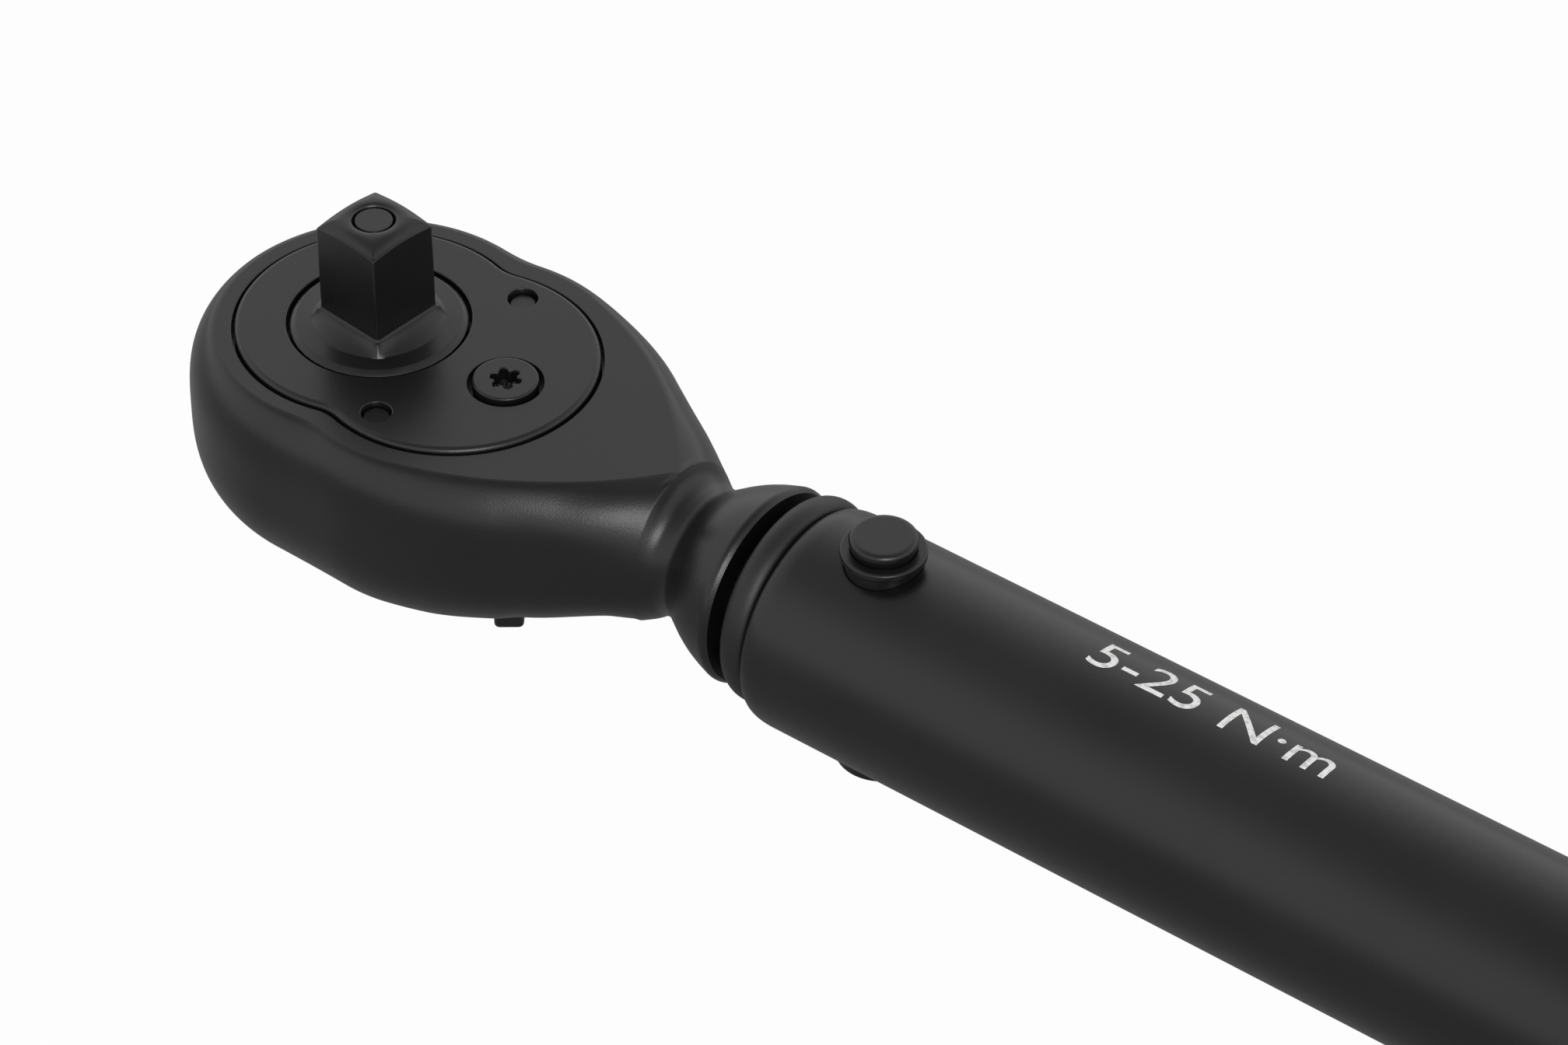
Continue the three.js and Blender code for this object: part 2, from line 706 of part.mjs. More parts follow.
function reversingLever() {
  const top = plateBottom - run;
  const under = headBack - run;
  const shaft = turned([
    [0, under - leverHubHeight], [leverHub - 0.4, under - leverHubHeight],
    [leverHub, under - leverHubHeight + 0.4], [leverHub, under],
    [leverShaft, under], [leverShaft, top], [0, top],
  ]);
  const half = leverBlade / 2;
  const blade = raised([
    v2(0, -half),
    ...arc(leverReach - half, 0, half, -Math.PI / 2, Math.PI / 2, 6),
    v2(leverReach - half, half), v2(0, half),
  ], headBack - leverDrop, under - 0.2, 0.3);
  return cut(
    joined(shaft, blade),
    disc(screwShank + fit, screwBore, top + 1, 0, 0, 16),
    block(0.4, leverShaft + 1, 0.5, pawlBottom + 1, screwBore - 0.6)
  );
}

// Bent leaf from a slot in the lever's shaft to the pawl's heel.
const pawlSpring = () =>
  raised([
    v2(0.5, -leafThickness / 2), v2(leafReach - 0.4, -leafThickness / 2), v2(leafReach, 0.5),
    v2(leafReach - 0.3, 0.65), v2(leafReach - 0.6, leafThickness / 2), v2(0.5, leafThickness / 2),
  ], pawlBottom + 1 + run, screwBore - 0.6 - run);

// ---- Tube, mouth bead and pivot -----------------------------------------------------------

function tube() {
  const mouth = [0, 0.5, 1].map((t) => {
    const angle = (Math.PI / 2) * t;
    const x = tubeFront + mouthRounding * (1 - Math.cos(angle));
    return [x, tubeRadius - mouthDrop * (1 - Math.sin(angle))];
  });
  const profile = [[tubeFront, tubeBore], ...mouth, [tubeRear, tubeRadius], [tubeRear, tubeBore]];
  return cut(
    turnedX(profile, 36),
    disc(pinRadius + bushWall + 2 * fit, 0, tubeRadius + 1, pivotOffset),
    disc(pinRadius + footBushWall + 2 * fit, -tubeRadius - 1, 0, pivotOffset),
    block(windowFront, windowRear, windowHalfWidth, 0, tubeRadius + 1),
    disc(gripPin + fit, -tubeRadius - 1, 0, gripPinAt, 0, 16)
  );
}

// Bead that closes the slit between collar and tube, with a lip in the tube's bore.
function sealRing() {
  const rear = tubeFront - fit;
  const front = rear - sealWidth;
  const lip = tubeBore - fit;
  const bore = lip - sealWall;
  const bead = [0, 0.25, 0.5, 0.75, 1].map((t) => {
    const angle = Math.PI * t;
    return [front + (sealWidth / 2) * (1 - Math.cos(angle)), sealRadius - 0.75 * (1 - Math.sin(angle))];
  });
  return turnedX([[front, bore], ...bead, [rear, lip], [rear + sealTuck, lip], [rear + sealTuck, bore]], 28);
}

function pivotPin() {
  const top = tubeRadius + pinStandOut;
  const bottom = tubeRadius + bushStandOut;
  const end = [[pinRadius, top - 0.5], [pinRadius - 0.15, top - 0.15], [pinRadius - 0.5, top]];
  const foot = end.map(([r, h]) => [r, top - h - bottom]).reverse();
  return turned([[0, -bottom], ...foot, ...end, [0, top]]);
}

function pivotBush(wall) {
  const inner = pinRadius + fit;
  const outer = inner + wall;
  const low = armHalfHeight + 0.3;
  const high = tubeRadius + bushStandOut;
  return turned([[inner, low], [outer, low], [outer, high - 0.3], [outer - 0.3, high], [inner, high]]);
}

// ---- Roller, plunger and main spring ------------------------------------------------------

function plunger() {
  const pocket = mainRadius + mainWire / 2 + pocketGap;
  return cut(
    discX(plungerRadius, plungerFront, plungerRear, 32),
    disc(rollerRadius + fit, -rollerHalfLength - fit, rollerHalfLength + fit, rollerAt),
    discX(pocket, plungerRear - springPocket, plungerRear + 1)
  );
}

const roller = () => turned([
  [0, -rollerHalfLength], [rollerRadius - 0.2, -rollerHalfLength], [rollerRadius, -rollerHalfLength + 0.2],
  [rollerRadius, rollerHalfLength - 0.2], [rollerRadius - 0.2, rollerHalfLength], [0, rollerHalfLength],
], 20);

const mainSpring = () =>
  coil(mainRadius, mainWire, mainTurns, springRear - springFront - mainWire)
    .translate(0, 0, springFront + mainWire / 2)
    .applyMatrix4(zToX);

const washer = () => sleeveX(screwRadius + 0.4, scaleFloor - 0.2, 0, washerThickness);

// ---- Nut, scale and adjusting screw -------------------------------------------------------

function springNut() {
  const rear = nutFront + nutLength;
  return cut(
    sleeveX(screwRadius + run, tubeBore - run, nutFront, rear, 32),
    block(nutFront - 1, rear + 1, stripHalfWidth + fit, scaleFloor - fit, tubeRadius)
  );
}

function scaleSlide() {
  const half = windowLength / 2 + scaleTravel + 1;
  return block(windowMiddle - half, windowMiddle + half, stripHalfWidth, scaleFloor, scaleTop - fit);
}

function adjustingScrew() {
  const front = nutFront - screwLead;
  const rear = knobRear - knobRecess;
  const collar = thrustFront - run;
  return turnedX([
    [front, 0], [front, screwRadius - 0.5], [front + 0.5, screwRadius],
    [collar - screwCollar, screwRadius], [collar - screwCollar, tubeBore - 1], [collar, tubeBore - 1],
    [collar, screwRadius], [rear, screwRadius], [rear, 0],
  ]);
}

// Bearing of the screw, pressed into the tube, with a flange behind it.
function rearBush() {
  const bore = screwRadius + run;
  const flange = tubeRear + fit;
  return turnedX([
    [bushFront, bore], [bushFront, tubeBore - fit], [flange, tubeBore - fit],
    [flange, tubeRadius], [gripRear, tubeRadius], [gripRear, bore],
  ]);
}

// ---- Grip, window and sleeve --------------------------------------------------------------

// A ring of six soft flats round the X axis; the radius is to a flat.
const softHexagon = (x, radius, count = 24) =>
  Array.from({ length: count }, (_, i) => {
    const angle = (TAU * i) / count;
    const r = radius * (1 + (gripCorner / 2) * (1 - Math.cos(6 * angle)));
    return v3(x, -r * Math.sin(angle), r * Math.cos(angle));
  });

function grip() {
  const flat = gripRadius - ribHeight;
  const stations = [
    [gripFront, flat - 3.2], [gripFront + 1.2, flat - 2.2], [gripFront + 5, flat - 0.8],
    [gripFront + 9, flat - 0.1], [windowMiddle, flat + 0.2], [windowRear + 3, flat],
    [sleeveFront - fit, flat - 0.2], [sleeveFront - fit, sleeveCore], [sleeveRear + fit, sleeveCore],
    [sleeveRear + fit, flat + 0.1], [gripRear - 1.2, flat], [gripRear, flat - 1],
  ];
  const over = gripRadius + 2;
  return cut(
    loft(stations.map(([x, r]) => softHexagon(x, r))),
    discX(gripBore, gripFront - 1, gripRear + 1, 32),
    block(windowFront - lensRim, windowRear + lensRim, lensHalfWidth, 0, over),
    block(lockFront - fit, gripRear + 1, lockHalfWidth + run, lockFloor - run, over),
    disc(gripPin + fit, -over, 0, gripPinAt, 0, 16)
  );
}

// Soft sleeve let into the grip, with round ribs.
function gripSleeve() {
  const flat = gripRadius - ribHeight;
  const ribs = Math.floor((sleeveLength - 2) / ribPitch);
  const start = (sleeveFront + sleeveRear - ribs * ribPitch) / 2;
  const outer = [[sleeveFront, flat]];
  for (let i = 0; i < ribs; i++) {
    const x = start + i * ribPitch;
    outer.push([x + 0.8, flat], [x + ribPitch / 2, flat + ribHeight], [x + ribPitch - 0.8, flat]);
  }
  outer.push([sleeveRear, flat]);
  const bore = [sleeveFront - 1, sleeveRear + 1].map((x) => softHexagon(x, sleeveCore + fit));
  return cut(loft(outer.map(([x, r]) => softHexagon(x, r))), loft(bore));
}

function scaleLens() {
  const lens = block(
    windowFront - lensRim + fit, windowRear + lensRim - fit, lensHalfWidth - fit,
    gripBore + 0.3, gripRadius
  );
  const crown = discX(gripRadius - ribHeight - 0.3, windowFront - lensRim, windowRear + lensRim, 48);
  return common(lens, crown);
}

const gripPinShape = () => disc(gripPin, -sleeveCore + 0.3, -tubeBore - 0.2, gripPinAt, 0, 16);

// ---- End knob and lock --------------------------------------------------------------------

function lockSlider() {
  const top = gripRadius - ribHeight;
  const base = block(lockFront + fit, lockRear, lockHalfWidth, lockFloor, top - 0.5);
  const tongue = block(lockRear - 1, knobFront - 0.4, tongueHalfWidth, lockFloor, lockFloor + tongueHeight);
  const ridges = [0, 1, 2].map((i) => {
    const x = lockFront + 1.2 + 2 * i;
    return block(x, x + 1, lockHalfWidth - 0.3, top - 1, top + 0.4);
  });
  return joined(base, tongue, ...ridges);
}

function adjustingKnob() {
  const points = knobFlutes * 3;
  const ring = (x, radius, depth) =>
    Array.from({ length: points }, (_, i) => {
      const angle = (TAU * i) / points;
      const p = at(radius - (depth / 1.5) * (1 - Math.cos(knobFlutes * angle)), angle);
      return v3(x, p.x, p.y);
    });
  const body = loft([
    ring(knobFront, knobRadius - 0.6, 0),
    ring(knobFront + 4.5, knobRadius, 0),
    ring(knobFront + 5.2, knobRadius - 0.2, fluteDepth),
    ring(knobRear - 3, knobRadius - 0.2, fluteDepth),
    ring(knobRear - 0.8, knobRadius - 1.2, fluteDepth),
    ring(knobRear, knobRadius - 2.6, 0),
  ]);
  const notches = Array.from({ length: knobFlutes }, (_, i) =>
    block(knobFront - 1, knobFront + lockTravel + 0.4, tongueHalfWidth + run, lockFloor - 0.3,
      lockFloor + tongueHeight + 0.3).rotateX((TAU * i) / knobFlutes));
  return cut(
    body,
    discX(screwRadius + fit, knobFront - 1, knobRear - knobRecess + 1),
    discX(capRadius + 0.2, knobRear - knobRecess, knobRear + 1),
    ...notches
  );
}

function knobScrew() {
  const seat = knobRear - knobRecess + fit;
  const top = seat + 3;
  const body = turnedX([
    [seat, 0], [seat, knobScrewHead], [top - 0.4, knobScrewHead], [top, knobScrewHead - 0.4], [top, 0],
  ], 20);
  const socket = new THREE.CylinderGeometry(1.6, 1.6, 3, 6).rotateZ(Math.PI / 2).translate(top, 0, 0);
  return cut(body, socket);
}

function endCap() {
  const rear = knobRear - 0.05;
  const front = rear - capThickness;
  return turnedX([
    [front, 0], [front, capRadius], [rear - 0.25, capRadius], [rear, capRadius - 0.4], [rear, 0],
  ]);
}

// ---- Assembly -----------------------------------------------------------------------------

const wrench = new THREE.Group();
wrench.name = "torque_wrench";

const ball = piece("retaining_ball", new THREE.SphereGeometry(ballRadius, 14, 9), brightSteel);
const ballOut = square / 2 + ballStandOut - ballRadius;
ball.position.set(-ballOut * Math.sin(squareTwist), ballOut * Math.cos(squareTwist), ballHeight);

const leverSet = new THREE.Group();
leverSet.position.set(screwOffset, 0, 0);
leverSet.rotation.z = -leverThrow;
leverSet.add(
  piece("reversing_lever", reversingLever(), blackedSteel),
  piece("cover_screw", coverScrew(), blackedSteel),
  piece("pawl_spring", pawlSpring(), springSteel)
);
const pawlPiece = piece("pawl", pawl(), blackedSteel, screwOffset);
pawlPiece.rotation.z = pawlSwing;

const head = new THREE.Group();
head.add(
  piece("ratchet_head", ratchetHead(), blackedCasting),
  piece("cover_plate", coverPlate(), blackedCasting),
  piece("dowel_left", dowel(), blackedSteel, dowelPlace[0], dowelPlace[1]),
  piece("dowel_right", dowel(), blackedSteel, dowelPlace[0], -dowelPlace[1]),
  piece("drive_gear", driveGear(), blackedSteel),
  piece("retaining_ring", retainingRing(), springSteel),
  piece("release_rod", releaseRod(), blackedSteel),
  piece("release_button", releaseButton(), blackedSteel),
  piece("release_spring", releaseSpring(), springSteel),
  ball,
  leverSet,
  pawlPiece
);

wrench.add(
  head,
  piece("tube", tube(), blackedTube),
  piece("seal_ring", sealRing(), blackRubber),
  piece("pivot_pin", pivotPin(), blackedSteel, pivotOffset),
  piece("pivot_bush_upper", pivotBush(bushWall), blackedSteel, pivotOffset),
  piece("pivot_bush_lower", pivotBush(footBushWall).rotateX(Math.PI), blackedSteel, pivotOffset),
  piece("plunger", plunger(), springSteel),
  piece("click_roller", roller(), brightSteel, rollerAt),
  piece("main_spring", mainSpring(), springSteel),
  piece("spring_washer", washer(), springSteel, springRear + fit),
  piece("spring_nut", springNut(), brass),
  piece("scale_slide", scaleSlide(), scaleWhite),
  piece("adjusting_screw", adjustingScrew(), springSteel),
  piece("thrust_washer", washer(), brass, thrustFront),
  piece("rear_bush", rearBush(), springSteel),
  piece("grip", grip(), blackPlastic),
  piece("grip_sleeve", gripSleeve(), softPlastic),
  piece("grip_pin", gripPinShape(), springSteel),
  piece("scale_lens", scaleLens(), clearPlastic),
  piece("lock_slider", lockSlider(), greyPlastic),
  piece("adjusting_knob", adjustingKnob(), blackPlastic),
  piece("knob_screw", knobScrew(), springSteel),
  piece("end_cap", endCap(), greyPlastic)
);

// The frame stands under the middle of the wrench as it lies, with the drive up.
const nose = plateNose + faceRim + wallBulge;
wrench.position.set((nose - knobRear) / 2, 0, gripRadius);
wrench.updateMatrixWorld(true);

export default wrench;
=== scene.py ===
import math

import bmesh
import bpy
from mathutils import Matrix, Vector


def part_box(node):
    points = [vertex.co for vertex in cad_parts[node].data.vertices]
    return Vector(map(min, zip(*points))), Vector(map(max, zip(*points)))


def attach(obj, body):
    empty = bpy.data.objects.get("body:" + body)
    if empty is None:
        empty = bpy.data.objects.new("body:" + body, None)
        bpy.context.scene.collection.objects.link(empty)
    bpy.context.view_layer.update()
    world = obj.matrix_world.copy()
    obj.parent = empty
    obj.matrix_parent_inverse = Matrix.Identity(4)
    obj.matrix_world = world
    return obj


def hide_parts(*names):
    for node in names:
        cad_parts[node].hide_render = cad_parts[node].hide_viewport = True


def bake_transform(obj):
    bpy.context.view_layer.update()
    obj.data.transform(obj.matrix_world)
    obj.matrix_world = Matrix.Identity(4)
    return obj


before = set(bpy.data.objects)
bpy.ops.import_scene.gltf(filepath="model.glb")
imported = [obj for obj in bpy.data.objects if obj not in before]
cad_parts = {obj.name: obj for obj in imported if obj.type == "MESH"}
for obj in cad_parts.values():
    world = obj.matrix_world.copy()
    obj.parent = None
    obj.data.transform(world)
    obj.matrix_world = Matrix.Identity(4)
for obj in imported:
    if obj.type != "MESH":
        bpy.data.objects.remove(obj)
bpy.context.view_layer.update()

# ---- Camera ----
# The wrench is seen from in front of its neck and from above, with a long lens, so that the
# head and the start of the tube fill the frame and the handle runs out of it.

camera_turn = math.radians(-52.22)
camera_rise = math.radians(40.39)
camera_roll = math.radians(-0.12)
camera_place = (0.13909, -0.29040, 0.33398)
camera_back = Vector((
    math.cos(camera_turn) * math.cos(camera_rise),
    math.sin(camera_turn) * math.cos(camera_rise),
    math.sin(camera_rise),
))
camera_right = Vector((-math.sin(camera_turn), math.cos(camera_turn), 0))
camera_up = camera_back.cross(camera_right)
camera = bpy.data.objects.new("camera", bpy.data.cameras.new("camera"))
camera.data.sensor_width = 36
camera.data.lens = 147.37
camera.data.clip_start = 0.01
bpy.context.collection.objects.link(camera)
camera.matrix_world = (
    Matrix.Translation(camera_place)
    @ Matrix((camera_right, camera_up, camera_back)).transposed().to_4x4()
    @ Matrix.Rotation(camera_roll, 4, "Z")
)
bpy.context.scene.camera = camera

# ---- Ratchet head ----
# The steel casting that holds the ratchet: a flat face with a pocket for the cover plate,
# bulging walls that run together into a waisted neck and collar, and the arm behind them
# that lies in the tube. It is blasted and blacked all over.

MM = 0.001
button_low, button_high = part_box("release_button")
tube_low, tube_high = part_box("tube")
drive_axis = (button_low.x + button_high.x) / 2
tube_axis = (tube_low.z + tube_high.z) / 2
origin = Vector((drive_axis, 0, tube_axis))

face_height = 7.6
back_height = -6.7
nose_radius = 13.15
lobe_radius = 13.35
lobe_place = 7.75
face_tip = 30.0
tail_radius = 33.8
wall_bulge = 1.95
tail_bulge = 1.02
wall_hollow = 200
wall_tuck = 0.1
tail_tuck = 0.6
heel_tuck = 0.9
wall_fullness = 3.8
low_fullness = 2.9
crease_ease = 0.36
crease_rows = 4
corner_place = 30.1
corner_half = 6.25
waist_place = 32.2
waist_radius = 5.15
collar_radius = 8.2
neck_rise = 0.6
wall_points = 150
tail_points = 60
cove_points = 30
collar_end = 38.65
pocket_floor = -3.2
pocket_gap = 0.32
plate_nose = 11.32
plate_lobe = 11.27
plate_place = 7.83
plate_hollow = 4.0
chamber_radius = 9.1
chamber_top = 6.9
pawl_reach = 11.4
pawl_back = 7.0
pawl_sweep = math.radians(39.5)
pawl_bore = 5.45
button_bore = 5.75
ring_bore = 7.35
ring_seat = -5.45
shaft_bore = 2.75
dowel_bore = 1.15
dowel_places = [(7.24, 8.84), (7.24, -8.84)]
screw_place = 12.8
pivot_place = 49.3
arm_end = 87.3
arm_half_width = 4.6
arm_half_height = 4.3
arm_bore = 2.79
notch_half = 3.9
notch_depth = 2.73
spigot_radius = 5.9


class Signal:
    """A value in a tree of nodes, so that maths on it is written as plain expressions."""

    def __init__(self, tree, socket):
        self.tree, self.socket = tree, socket

    def maths(self, operation, *values):
        return self.tree.node("ShaderNodeMath", {"operation": operation}, dict(enumerate(values)))

    def __add__(self, other):
        return self.maths("ADD", self, other)

    def __radd__(self, other):
        return self.maths("ADD", other, self)

    def __sub__(self, other):
        return self.maths("SUBTRACT", self, other)

    def __rsub__(self, other):
        return self.maths("SUBTRACT", other, self)

    def __mul__(self, other):
        return self.maths("MULTIPLY", self, other)

    def __rmul__(self, other):
        return self.maths("MULTIPLY", other, self)


class Tree:
    """A tree of nodes, which one method makes."""

    def __init__(self, owner):
        owner.use_nodes = True
        self.nodes, self.links = owner.node_tree.nodes, owner.node_tree.links

    def node(self, kind, settings, sockets, output=0):
        """Any node: its settings first, then the values or signals of its sockets."""
        made = self.nodes.new(kind)
        for setting, value in settings.items():
            setattr(made, setting, value)
        for socket, value in sockets.items():
            if isinstance(value, Signal):
                self.links.new(value.socket, made.inputs[socket])
            else:
                made.inputs[socket].default_value = value
        return Signal(self, made.outputs[output])

    def limits(self, signal, low, high, start=0.0, end=1.0):
        """The signal's span from low to high as a span from start to end."""
        sockets = {0: signal, 1: low, 2: high, 3: start, 4: end}
        return self.node("ShaderNodeMapRange", {"interpolation_type": "SMOOTHSTEP"}, sockets)


class Finish(Tree):
    """A material from a colour, a roughness and other constants of its shader. The slot it is given
    is not used.
    """

    def __init__(self, name, slot, colour, roughness, **constants):
        self.material, self.slot = bpy.data.materials.new(name), slot
        super().__init__(self.material)
        self.shader = self.nodes["Principled BSDF"]
        constants.update(Base_Color=(*colour, 1), Roughness=roughness)
        for socket, value in constants.items():
            self.shader.inputs[socket.replace("_", " ")].default_value = value

    def feed(self, **signals):
        for socket, signal in signals.items():
            self.links.new(signal.socket, self.shader.inputs[socket.replace("_", " ")])

    def noise(self, scale, detail=3.0):
        where = self.node("ShaderNodeTexCoord", {}, {}, "Object")
        sockets = {"Vector": where, "Scale": scale, "Detail": detail}
        return self.node("ShaderNodeTexNoise", {}, sockets)

    def blend(self, mask, first, second):
        """Two colours mixed, each a signal or its red, green and blue."""
        first, second = (c if isinstance(c, Signal) else (*c, 1) for c in (first, second))
        sockets = {0: mask, 6: first, 7: second}
        return self.node("ShaderNodeMix", {"data_type": "RGBA"}, sockets, 2)

    def bump(self, height, depth_mm):
        sockets = {"Height": height, "Distance": depth_mm * MM, "Strength": 1.0}
        return self.node("ShaderNodeBump", {}, sockets)


def blacked(name, slot, grey, roughness, grain_mm, grain_depth):
    """Blacked steel: a tight grain, cloudy oxide, and small bright rubs from handling."""
    f = Finish(name, slot, (grey, grey, grey * 1.02), roughness)
    grain = f.noise(1 / (grain_mm * MM), 2.0)
    clouds = f.noise(90.0, 4.0)
    specks = f.limits(f.noise(1500.0, 2.0), 0.66, 0.80)
    worn = f.limits(f.noise(310.0, 5.0), 0.60, 0.78) * 0.25
    tone = f.blend(f.limits(clouds, 0.3, 0.7), (grey * 0.82,) * 3, (grey * 1.22,) * 3)
    tone = f.blend(worn, tone, (grey * 2.0, grey * 1.98, grey * 1.95))
    tone = f.blend(specks * 0.35, tone, (grey * 2.6,) * 3)
    sheen = roughness + (clouds - 0.5) * 0.12 + (grain - 0.5) * 0.10 - worn * 0.12
    f.feed(Base_Color=tone, Roughness=sheen, Normal=f.bump(grain, grain_depth))
    return f


def arc(centre, radius, start, end, steps):
    """Points of an arc, both ends included."""
    angles = [start + (end - start) * i / steps for i in range(steps + 1)]
    return [Vector((centre[0] + radius * math.cos(a), centre[1] + radius * math.sin(a)))
            for a in angles]


def crossing(xa, ra, xb, rb):
    """Where two circles centred on the X axis cross, on the side of positive y."""
    x = xa + (ra * ra - rb * rb + (xb - xa) ** 2) / (2 * (xb - xa))
    return Vector((x, math.sqrt(ra * ra - (x - xa) ** 2)))


def lobes(nose, lobe, place, hollow_radius, end):
    """Half an outline: the nose's arc, a hollow, and the lobe's arc as far as the angle end."""
    hollow = crossing(0, nose + hollow_radius, place, lobe + hollow_radius)
    from_nose = math.atan2(hollow.y, hollow.x)
    from_lobe = math.atan2(hollow.y, hollow.x - place)
    return (
        arc((0, 0), nose, math.pi, from_nose, 40)
        + arc(hollow, hollow_radius, from_nose - math.pi, from_lobe - math.pi, 12)[1:]
        + arc((place, 0), lobe, from_lobe, end, 30)[1:]
    )


def spaced(points, count):
    """The line through points, as count points spaced evenly along it."""
    lengths = [0.0]
    for a, b in zip(points, points[1:]):
        lengths.append(lengths[-1] + (b - a).length)
    found, i = [], 0
    for k in range(count):
        wanted = lengths[-1] * k / (count - 1)
        while i < len(points) - 2 and lengths[i + 1] < wanted:
            i += 1
        share = (wanted - lengths[i]) / max(lengths[i + 1] - lengths[i], 1e-9)
        found.append(points[i].lerp(points[i + 1], min(share, 1)))
    return found


def eased(corners, steps=6):
    """A line through corners (x, y, ease), each rounded over its ease to both sides."""
    line = []
    for i, (x, y, ease) in enumerate(corners):
        corner = Vector((x, y))
        if not ease or i in (0, len(corners) - 1):
            line.append(corner)
            continue
        before = (Vector(corners[i - 1][:2]) - corner).normalized() * ease
        after = (Vector(corners[i + 1][:2]) - corner).normalized() * ease
        for k in range(steps + 1):
            s = k / steps
            line.append(corner + before * (1 - s) ** 2 + after * s * s)
    return line


def smooth_step(low, high, value):
    t = min(max((value - low) / (high - low), 0), 1)
    return t * t * (3 - 2 * t)


def loop(bm, points, height=None):
    """A closed loop of edges through points in the plane at that height."""
    verts = [bm.verts.new((p[0], p[1], p[2] if height is None else height)) for p in points]
    return [bm.edges.new((a, b)) for a, b in zip(verts, verts[1:] + verts[:1])]


def bridge(bm, upper, lower):
    """Joins two loops of edges with faces, and gives the second back."""
    bmesh.ops.bridge_loops(bm, edges=upper + lower)
    return lower


def fill(bm, edges):
    bmesh.ops.triangle_fill(bm, use_beauty=True, edges=edges)


def move(bm, x=0, y=0, z=0):
    bmesh.ops.translate(bm, vec=(x, y, z), verts=bm.verts)
    return bm


def bevel(bm, edges, offset, segments):
    bmesh.ops.bevel(bm, geom=edges, offset=offset, segments=segments, profile=0.5,
                    affect="EDGES", material=-1)
    return bm


def circle(radius, steps, x=0, y=0):
    return arc((x, y), radius, 0, 2 * math.pi, steps)[:-1]


def tidy(bm):
    """Merges doubles and points the faces outward."""
    bmesh.ops.remove_doubles(bm, verts=bm.verts, dist=0.0005)
    bmesh.ops.recalc_face_normals(bm, faces=bm.faces)
    closed = not any(e.is_boundary for e in bm.edges)
    if closed and bm.calc_volume(signed=True) < 0:
        bmesh.ops.reverse_faces(bm, faces=bm.faces)
    return bm


def turned(profile, steps=96):
    """A line of (radius, height) points turned round the Z axis."""
    bm = bmesh.new()
    verts = [bm.verts.new((p[0], 0, p[1])) for p in profile]
    edges = [bm.edges.new(pair) for pair in zip(verts, verts[1:])]
    if profile[0][0] > 0 and profile[-1][0] > 0:
        edges.append(bm.edges.new((verts[-1], verts[0])))
    bmesh.ops.spin(bm, geom=verts + edges, cent=(0, 0, 0), axis=(0, 0, 1),
                   angle=2 * math.pi, steps=steps, use_merge=True)
    return tidy(bm)


def rod(radius, low, high, x=0.0, y=0.0, steps=64):
    bm = turned([(0, low), (radius, low), (radius, high), (0, high)], steps)
    return move(bm, x, y)


def slab(outline, low, high, holes=()):
    """A flat plate with an outline and holes, from low to high."""
    bm = bmesh.new()
    edges = loop(bm, outline, high)
    for hole in holes:
        edges += loop(bm, hole, high)
    fill(bm, edges)
    pulled = bmesh.ops.extrude_face_region(bm, geom=bm.faces[:])["geom"]
    moved = [v for v in pulled if isinstance(v, bmesh.types.BMVert)]
    bmesh.ops.translate(bm, vec=(0, 0, low - high), verts=moved)
    return tidy(bm)


def as_object(name, bm):
    mesh = bpy.data.meshes.new(name)
    bm.to_mesh(mesh)
    bm.free()
    made = bpy.data.objects.new(name, mesh)
    bpy.context.collection.objects.link(made)
    return made


def cut(bm, *tools):
    """Takes closed shapes out of a closed shape."""
    body = as_object("body", bm)
    cutters = [as_object("cutter", tool) for tool in tools]
    for cutter in cutters:
        step = body.modifiers.new("cut", "BOOLEAN")
        step.operation, step.solver, step.object = "DIFFERENCE", "EXACT", cutter
    bpy.context.view_layer.update()
    graph = bpy.context.evaluated_depsgraph_get()
    mesh = bpy.data.meshes.new_from_object(body.evaluated_get(graph))
    left = bmesh.new()
    left.from_mesh(mesh)
    for used in [body, *cutters]:
        bpy.data.meshes.remove(used.data)
    bpy.data.meshes.remove(mesh)
    return left


def join(bm, *others):
    """Puts other shapes in the same mesh."""
    for other in others:
        mesh = bpy.data.meshes.new("part")
        other.to_mesh(mesh)
        other.free()
        bm.from_mesh(mesh)
        bpy.data.meshes.remove(mesh)
    return bm


def piece(name, bm, finish, body, *stands_for, crisp=40):
    """Places a shape that is drawn in millimetres from the drive's and the tube's axes."""
    bmesh.ops.scale(bm, vec=(MM, MM, MM), verts=bm.verts)
    move(bm, *origin)
    bm.normal_update()
    for face in bm.faces:
        face.smooth = abs(face.normal.z) < 0.99999
    for edge in bm.edges:
        edge.smooth = edge.calc_face_angle(0) < math.radians(crisp)
    made = as_object(name, bm)
    made.data.materials.append(finish.material)
    even = made.modifiers.new("even shading", "WEIGHTED_NORMAL")
    even.keep_sharp = True
    if body:
        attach(made, body)
    if stands_for:
        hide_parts(*stands_for)
    return made


def mirror_y(points):
    """A half outline from the X axis to the X axis, closed by its mirror image."""
    return points + [Vector((p.x, -p.y)) for p in points[-2:0:-1]]


def normals(points):
    """The outward direction at each point of a half outline that starts at the nose."""
    found = []
    for i in range(len(points)):
        along = points[min(i + 1, len(points) - 1)] - points[max(i - 1, 0)]
        found.append(Vector((-along.y, along.x)).normalized())
    found[0] = Vector((-1, 0))
    return found


